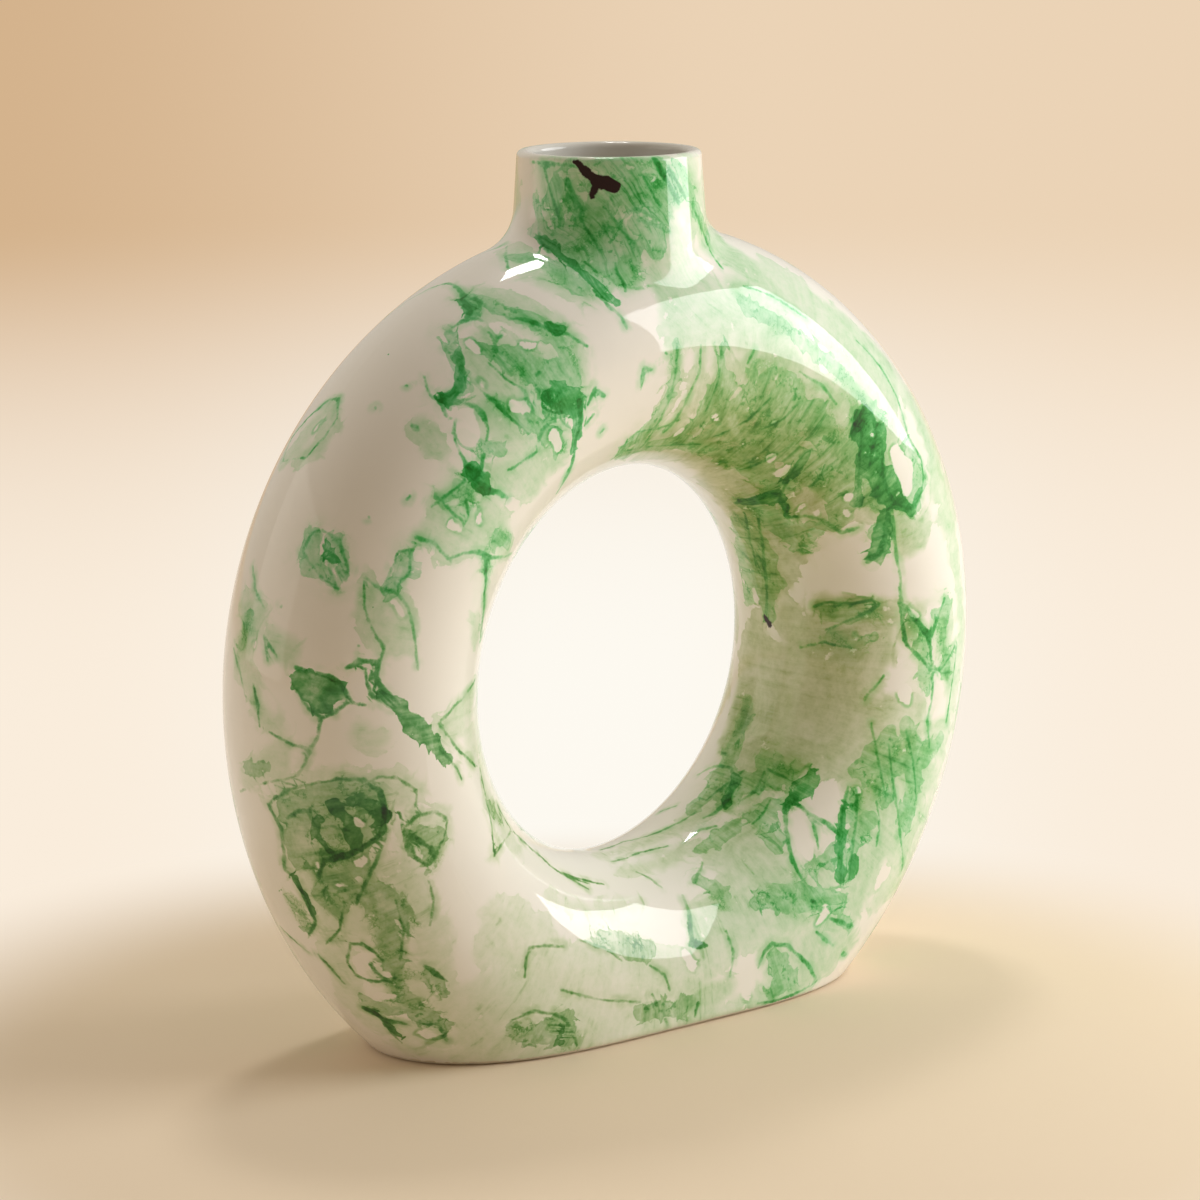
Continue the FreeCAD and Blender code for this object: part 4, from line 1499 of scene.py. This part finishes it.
def brushed(here, x, y, z, bend, soft):
    """Fine streaks: round the tube, and aslant down the neck."""
    tree = here.tree
    up = z - hole_middle
    from_axis = work(tree, "SQRT", x * x + up * up)
    across_tube = work(tree, "ARCTAN2", y, from_axis - ring_middle)
    sweep = sine(across_tube) * 2.0 + bend * 13 + soft * 3
    round_tube = to_vector(tree, x / from_axis * streaked_ring, up / from_axis * streaked_ring, sweep)
    on_tube, _ = noise_of(round_tube, 0.5, 3, 0.6, w=cosine(across_tube) * 1.2 + soft)
    turned = work(tree, "ARCTAN2", y, x) + z * 0.026 + bend * 0.6 + soft * 0.12
    round_neck = to_vector(tree, cosine(turned) * streaked_neck, sine(turned) * streaked_neck, z * 0.1)
    on_neck, _ = noise_of(round_neck, 0.7, 3, 0.65)
    from_neck = work(tree, "SQRT", x * x + y * y)
    share = fade(from_neck, 44, 30) * fade(z, neck_root, neck_root + 8)
    return on_tube * (1 - share) + on_neck * share - 0.5


def glaze_density(tree):
    """How thick the green lies: veils, washes, pools, lines, threads and specks."""
    place = tree.nodes.new("ShaderNodeTexCoord")
    here = vector_work(tree, "SCALE", Wire(tree, place.outputs["Object"]), scale=1 / mm)
    x, y, z = to_numbers(here)
    hair, _ = noise_of(here, 1.5, 2, 0.6)
    fine, fine_colour = noise_of(here, 0.5, 3, 0.6)
    soft, _ = noise_of(here, 0.16, 2, 0.5)
    cloud, _ = noise_of(here, 0.08, 4, 0.6, 0.8)
    bend, _ = noise_of(here, 0.035, 1)
    hair, fine, soft, cloud = hair - 0.5, fine - 0.5, soft - 0.5, cloud - 0.5
    streak = brushed(here, x, y, z, bend, soft)
    wobble = vector_work(tree, "SUBTRACT", fine_colour, (0.5, 0.5, 0.5))

    def shaken(start, reach):
        """A place moved a little by the fine wobble."""
        return vector_work(tree, "ADD", start, vector_work(tree, "SCALE", wobble, scale=reach))

    ridge, _ = noise_of(shaken(here, 1.6), 0.075, 1.5, 0.5, 1.0)
    ridge = work(tree, "ABSOLUTE", ridge - 0.5)
    tendril = fade(ridge, 0.07, 0.0)

    def edge_of(name, spread, ragged):
        """Millimetres past the edge of a kind of mark, with the edge frayed."""
        frayed = soft * 3.2 + fine * 1.8 + hair * 0.4 + streak * 1.1 + 0.3 - tendril * 1.5
        return attribute_of(tree, name) - spread + frayed * ragged

    def coat(name, spread, ragged, deep, cloudy, streaky, watery, tide):
        """One layer of green: crisp or watery at its edge, with a darker line where it dried."""
        edge = edge_of(name, spread, ragged)
        crisp = fade(edge, 0.16, -0.16)
        melting = fade(edge, 1.6, -3.2)
        melted = fade(cloud + soft * 0.5, 0.06 - watery, 0.16 - watery)
        inside = crisp * (1 - melted) + melting * melted
        rim = fade(edge, -0.9, -0.2) * crisp * (1 - melted) * fade(soft, -0.12, 0.12)
        inner = fade(work(tree, "ABSOLUTE", edge + 2.4 + cloud * 6), 0.4, 0.0) * fade(fine, 0.0, 0.12)
        body = work(tree, "EXPONENT", cloud * cloudy + streak * streaky + fine * 1.1 + hair * 0.4) * deep
        return inside * (body + inner * tide * 0.4) + rim * tide, edge

    veil, veil_edge = coat(
        "veil", spread=1.8, ragged=1.0, deep=0.44, cloudy=2.6, streaky=1.4, watery=0.16, tide=0.2
    )
    wash, wash_edge = coat(
        "wash", spread=0.8, ragged=1.05, deep=0.68, cloudy=3.2, streaky=2.4, watery=0.07, tide=0.4
    )
    pool, _ = coat(
        "pool", spread=0.6, ragged=0.75, deep=1.8, cloudy=4.4, streaky=3.0, watery=-0.04, tide=0.8
    )
    strokes_on_veils = fade(veil_edge, 0, -2) * fade(cloud, -0.02, 0.1) * 0.5
    strokes = fade(streak, 0.06, 0.24) * (fade(wash_edge, 0.2, -1.2) * 0.65 + strokes_on_veils)
    blots = fade(fine + soft * 0.7, 0.10, 0.21) * fade(wash_edge, 0.3, -0.8) * 0.9
    halo = fade(wash_edge, 6, -1) * fade(cloud, -0.16, 0.16) * 0.16

    bare_edge = edge_of("bare", 0, 0.35)
    bare = fade(bare_edge, 0.2, -0.25)
    bare_rim = fade(bare_edge, 1.1, 0.25) * (1 - bare)
    bare_rim = bare_rim * fade(veil_edge, 0.5, -0.5) * fade(soft, -0.1, 0.1)

    to_middle = shaken(attribute_of(tree, "line_offset", "Vector"), 0.9)
    drawn_width = attribute_of(tree, "line_width")
    line_width = drawn_width * (1.1 + soft * 2.8 + fine * 0.8)
    line_gap = attribute_of(tree, "line_gap")
    to_line = greater(vector_work(tree, "LENGTH", to_middle) - line_width, line_gap - 0.7)
    inked = 0.5 + fade(drawn_width, 0.25, 0.75) * 0.5
    line = fade(to_line, 0.4, -0.25) * inked * work(tree, "EXPONENT", fine * 3 + cloud * 5 + hair) * 2.3
    stain = fade(to_line, 2.2, 0.0) * fade(soft, -0.1, 0.2) * 0.55

    thread = fade(ridge, 0.009, 0.0)
    threads = thread * fade(wash_edge, 1.5, -1.0) * fade(soft, 0.0, 0.16) * 1.5

    net = tree.nodes.new("ShaderNodeTexVoronoi")
    net.feature = "DISTANCE_TO_EDGE"
    plug(tree, net.inputs["Vector"], shaken(here, 7))
    net.inputs["Scale"].default_value = 0.17
    net_lines = fade(Wire(tree, net.outputs["Distance"]), 0.075, 0.0) * fade(wash_edge, 2.2, -0.6)
    threads = threads + net_lines * fade(cloud + soft * 0.6, 0.02, 0.12) * 0.8

    cells = tree.nodes.new("ShaderNodeTexVoronoi")
    plug(tree, cells.inputs["Vector"], shaken(here, 4))
    cells.inputs["Scale"].default_value = 0.3
    cell = fade(Wire(tree, cells.outputs["Distance"]), 0.30, 0.16) * fade(cloud + soft, 0.10, 0.22)
    kept = (1 - cell * 0.8) * (1 - bare * 0.94)

    dots = tree.nodes.new("ShaderNodeTexVoronoi")
    plug(tree, dots.inputs["Vector"], here)
    dots.inputs["Scale"].default_value = 0.085
    chance, _, _ = to_numbers(Wire(tree, dots.outputs["Color"]))
    specks = fade(Wire(tree, dots.outputs["Distance"]), 0.026, 0.014) * fade(chance, 0.6, 0.64) * 2

    laid = (wash + pool + strokes + blots + threads) * kept + bare_rim * 0.7
    pale = (veil + halo) * kept
    density = laid + line + stain + specks
    return here, density, pale, soft, cloud, fine, streak


def marbled_glaze(name, open_mouth):
    """Clear glossy coat over cream white, with the green in it, and painted shade: darker inside the mouth,
    a warm tan low on the left, denser olive veils toward the hole on the right. The inside takes no green
    and stays white, darkened inside the mouth.
    """
    material = bpy.data.materials.new(name)
    material.use_nodes = True
    tree = material.node_tree
    shader = tree.nodes["Principled BSDF"]
    here, density, pale, soft, cloud, fine, streak = glaze_density(tree)
    x, y, z = to_numbers(here)
    up = z - hole_middle
    from_axis = work(tree, "SQRT", x * x + up * up)
    # Painted shade and warm bounce light: on the faces toward the hole, on the right and from mid-height
    # up, the veils lie denser and more olive.
    inner_shade_tint = fade(from_axis, 100, 62) * fade(x, -40, 20) * fade(z, 20, 85)
    # Painted warm shade low on the left: a tan tint, with the veils a little paler and less red taken away.
    low_left_shade_tint = fade(z, 150, 60) * fade(x, 55, -30)
    if open_mouth:
        from_middle = work(tree, "SQRT", x * x + y * y)
        outside = fade(from_middle, *mouth_edge)
    else:
        across = from_axis - ring_middle
        from_tube_middle = work(tree, "SQRT", across * across + y * y)
        below = fade(up, 5, -5)
        outside = greater(fade(from_tube_middle, *tube_inside), below)
    density = lesser(density, full_thickness) + greater(density - full_thickness, 0) * past_full
    density = density * outside
    pale = pale * outside * (1 + inner_shade_tint * 0.14 - low_left_shade_tint * 0.15)
    shallow = 1 - work(tree, "EXPONENT", -density)
    # The painted shade tints above shift the red, green and blue that the glaze takes away.
    red_taken = density * (marks_take[0] - inner_shade_tint * 0.12) + pale * (veils_take[0] - low_left_shade_tint * 0.34)
    green_taken = (
        density * (marks_take[1] + inner_shade_tint * 0.04 + low_left_shade_tint * 0.14 - soft * 0.08)
        + shallow * low_left_shade_tint * 0.2
        + pale * (veils_take[1] + inner_shade_tint * 0.36)
    )
    blue_taken = (
        density * (marks_take[2] + low_left_shade_tint * 0.26)
        + shallow * (0.2 + inner_shade_tint * 0.35 + low_left_shade_tint * 0.16 + cloud * 0.4)
        + pale * (veils_take[2] + inner_shade_tint * 0.62 - low_left_shade_tint * 0.14)
    )
    taken = (red_taken, green_taken, blue_taken)
    left = [work(tree, "EXPONENT", -part) * whole for part, whole in zip(taken, cream)]
    colour = to_vector(tree, *left)
    if open_mouth:
        # Painted shade inside the mouth: the colour darkened by a fifth, partly for the grey-white inner
        # glaze.
        mouth_shade = 1 - (1 - outside) * 0.2
        colour = vector_work(tree, "MULTIPLY", colour, to_vector(tree, mouth_shade, mouth_shade, mouth_shade))
    dark = fade(attribute_of(tree, "splash") + fine * 1.3, 0.2, -0.15)
    if open_mouth:
        dark = dark * outside
    colour = mixed(tree, dark, colour, splash_brown)
    tree.links.new(colour.socket, shader.inputs["Base Color"])
    shader.inputs["Roughness"].default_value = 0.4
    shader.inputs["Specular IOR Level"].default_value = 0.1
    shader.inputs["Coat Weight"].default_value = 1
    shader.inputs["Coat Roughness"].default_value = 0.02
    shader.inputs["Coat IOR"].default_value = 1.42
    ripple, _ = noise_of(here, 0.07, 1)
    bump = tree.nodes.new("ShaderNodeBump")
    bump.inputs["Strength"].default_value = 0.25
    bump.inputs["Distance"].default_value = 0.25 * mm
    plug(tree, bump.inputs["Height"], ripple + streak * 0.05)
    tree.links.new(bump.outputs[0], shader.inputs["Coat Normal"])
    return material


def bare_clay(name):
    """The unglazed underside: dry, pale and slightly gritty."""
    material = bpy.data.materials.new(name)
    material.use_nodes = True
    tree = material.node_tree
    shader = tree.nodes["Principled BSDF"]
    place = tree.nodes.new("ShaderNodeTexCoord")
    here = vector_work(tree, "SCALE", Wire(tree, place.outputs["Object"]), scale=1 / mm)
    cloud, _ = noise_of(here, 0.06, 3)
    grit, _ = noise_of(here, 2.2, 3, 0.7)
    tone = 0.92 + (cloud - 0.5) * 0.22 + (grit - 0.5) * 0.24
    colour = to_vector(tree, *[tone * part for part in clay_colour])
    tree.links.new(colour.socket, shader.inputs["Base Color"])
    rough = 0.82 + (grit - 0.5) * 0.2
    plug(tree, shader.inputs["Roughness"], rough)
    bump = tree.nodes.new("ShaderNodeBump")
    bump.inputs["Strength"].default_value = 0.5
    bump.inputs["Distance"].default_value = 0.15 * mm
    plug(tree, bump.inputs["Height"], grit)
    tree.links.new(bump.outputs[0], shader.inputs["Normal"])
    return material


# The bare clay starts below this height, on faces that look down more steeply than this
bare_below = 1.2 * mm
looking_down = -0.55


def leave_bare_below(piece, clay):
    """Gives the faces that the vase stands on, and the hollow between them, the bare clay."""
    piece.data.materials.append(clay)
    for face in piece.data.polygons:
        if face.center.z < bare_below and face.normal.z < looking_down:
            face.material_index = 1


shell_glaze = marbled_glaze("marbled_glaze", open_mouth=False)
neck_glaze = marbled_glaze("neck_glaze", open_mouth=True)
foot_glaze = marbled_glaze("foot_glaze", open_mouth=False)

nodes = ("front_shell", "back_shell", "neck", "foot")
search, _, _, _ = solid_tree(nodes)
marks = {
    "veil": mark_points(veils, search),
    "wash": mark_points(washes, search),
    "pool": mark_points(pools, search),
    "bare": mark_points(bare_spots, search),
    "line": mark_points(lines, search),
    "splash": mark_points(splashes, search, ways=(front_way,)),
}

skin_tree = ring_skin_tree()
cutter = collar_cutter()
pieces = {
    "front_shell": half_shell("front_shell_piece", -1.0, skin_tree, shell_glaze, cutter),
    "back_shell": half_shell("back_shell_piece", 1.0, skin_tree, shell_glaze, cutter),
    "neck": refined("neck", neck_detail),
    "foot": refined("foot", foot_detail),
}
bpy.data.objects.remove(cutter)
finishes = {
    "front_shell": (shell_glaze, "marbled_glaze"),
    "back_shell": (shell_glaze, "marbled_glaze"),
    "neck": (neck_glaze, "neck_glaze"),
    "foot": (foot_glaze, "bare_clay"),
}
for node, piece in pieces.items():
    glaze, slot = finishes[node]
    piece.data.materials.clear()
    piece.data.materials.append(glaze)
    if node == "foot":
        leave_bare_below(piece, bare_clay("bare_clay"))
    take_normals(piece, node)
    paint(piece, marks)
    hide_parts(node)
    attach(piece, "root")


# The stage: a pale floor that catches the vase's shadow, in a peach room with a bright glow behind
floor_reach = 30
glow_forward = 0.06
glow_starts = 0.150
glow_is_full = 0.25
room_starts = 0.42
room_is_full = 2.1
floor_colour = (0.865, 0.72, 0.54)
glow_middle = (0.985, 0.95, 0.875)
glow_side = (0.955, 0.845, 0.715)
room_left = (0.655, 0.446, 0.262)
room_right = (0.83, 0.652, 0.468)
glow_edges = (0.01, 0.13)
room_edges = (-0.16, 0.05)


def stage_floor():
    """The floor: lit near the vase, and a plain soft glow farther off."""
    mesh = bpy.data.meshes.new("floor")
    edit = bmesh.new()
    bmesh.ops.create_circle(edit, cap_ends=True, segments=96, radius=floor_reach)
    edit.to_mesh(mesh)
    edit.free()
    floor = new_object("floor", mesh)
    material = bpy.data.materials.new("pale_floor")
    material.use_nodes = True
    tree = material.node_tree
    shader = tree.nodes["Principled BSDF"]
    shader.inputs["Base Color"].default_value = (*floor_colour, 1)
    shader.inputs["Roughness"].default_value = 0.75
    shader.inputs["Specular IOR Level"].default_value = 0.15
    place = tree.nodes.new("ShaderNodeTexCoord")
    x, y, _ = to_numbers(Wire(tree, place.outputs["Object"]))
    from_x, from_y = x - away.x * glow_forward, y - away.y * glow_forward
    from_vase = work(tree, "SQRT", from_x * from_x + from_y * from_y)
    across = x * level_right.x + y * level_right.y
    aside = across / (from_vase + camera_distance)
    glow = mixed(tree, fade(work(tree, "ABSOLUTE", aside), *glow_edges), glow_middle, glow_side)
    room = mixed(tree, fade(aside, *room_edges), room_left, room_right)
    tone = mixed(tree, fade(from_vase, room_starts, room_is_full), glow, room)
    shine = tree.nodes.new("ShaderNodeEmission")
    tree.links.new(tone.socket, shine.inputs["Color"])
    path = tree.nodes.new("ShaderNodeLightPath")
    rays = ("Is Camera Ray", "Is Glossy Ray", "Is Transmission Ray")
    camera_ray, glossy_ray, through_ray = [Wire(tree, path.outputs[key]) for key in rays]
    seen = greater(greater(camera_ray, glossy_ray), through_ray)
    share = fade(from_vase, glow_starts, glow_is_full) * seen
    blend = tree.nodes.new("ShaderNodeMixShader")
    plug(tree, blend.inputs[0], share)
    tree.links.new(shader.outputs[0], blend.inputs[1])
    tree.links.new(shine.outputs[0], blend.inputs[2])
    tree.links.new(blend.outputs[0], tree.nodes["Material Output"].inputs["Surface"])
    floor.data.materials.append(material)


stage_floor()

# What the lamps face: the middle of the vase
lamps_face = Vector((0, 0, 0.12))


def panel(name, azimuth, reach, above, width, height, watts, colour):
    """A soft panel that faces the vase: azimuth 0 is in front of the vase and grows to its right."""
    light = bpy.data.lights.new(name, "AREA")
    light.shape = "RECTANGLE"
    light.size = width
    light.size_y = height
    light.energy = watts
    light.color = colour
    lamp = bpy.data.objects.new(name, light)
    bpy.context.scene.collection.objects.link(lamp)
    angle = math.radians(azimuth)
    lamp.location = (reach * math.sin(angle), -reach * math.cos(angle), above)
    aim = lamps_face - lamp.location
    lamp.rotation_euler = aim.to_track_quat("-Z", "Y").to_euler()


cool, warm, plain = (0.96, 0.985, 1.0), (1.0, 0.94, 0.86), (1.0, 0.98, 0.95)
panel("key_panel", azimuth=54, reach=0.71, above=0.38, width=0.52, height=0.47, watts=5.0, colour=cool)
panel("left_panel", azimuth=-120, reach=0.9, above=0.35, width=0.8, height=0.6, watts=1.3, colour=warm)
panel("top_lamp", azimuth=148, reach=0.4, above=1.1, width=0.16, height=0.16, watts=2.2, colour=plain)

room_in_front = (0.235, 0.185, 0.135)
room_behind = (0.56, 0.505, 0.435)


def studio_world():
    """Light from the room: dimmer and warmer on the camera's side."""
    world = bpy.data.worlds.new("studio")
    world.use_nodes = True
    tree = world.node_tree
    ground = tree.nodes["Background"]
    place = tree.nodes.new("ShaderNodeTexCoord")
    x, y, _ = to_numbers(Wire(tree, place.outputs["Generated"]))
    to_back = x * -away.x + y * -away.y
    tone = mixed(tree, fade(to_back, -0.8, 0.8), room_in_front, room_behind)
    tree.links.new(tone.socket, ground.inputs["Color"])
    bpy.context.scene.world = world


studio_world()
bpy.context.scene.view_settings.view_transform = "Standard"
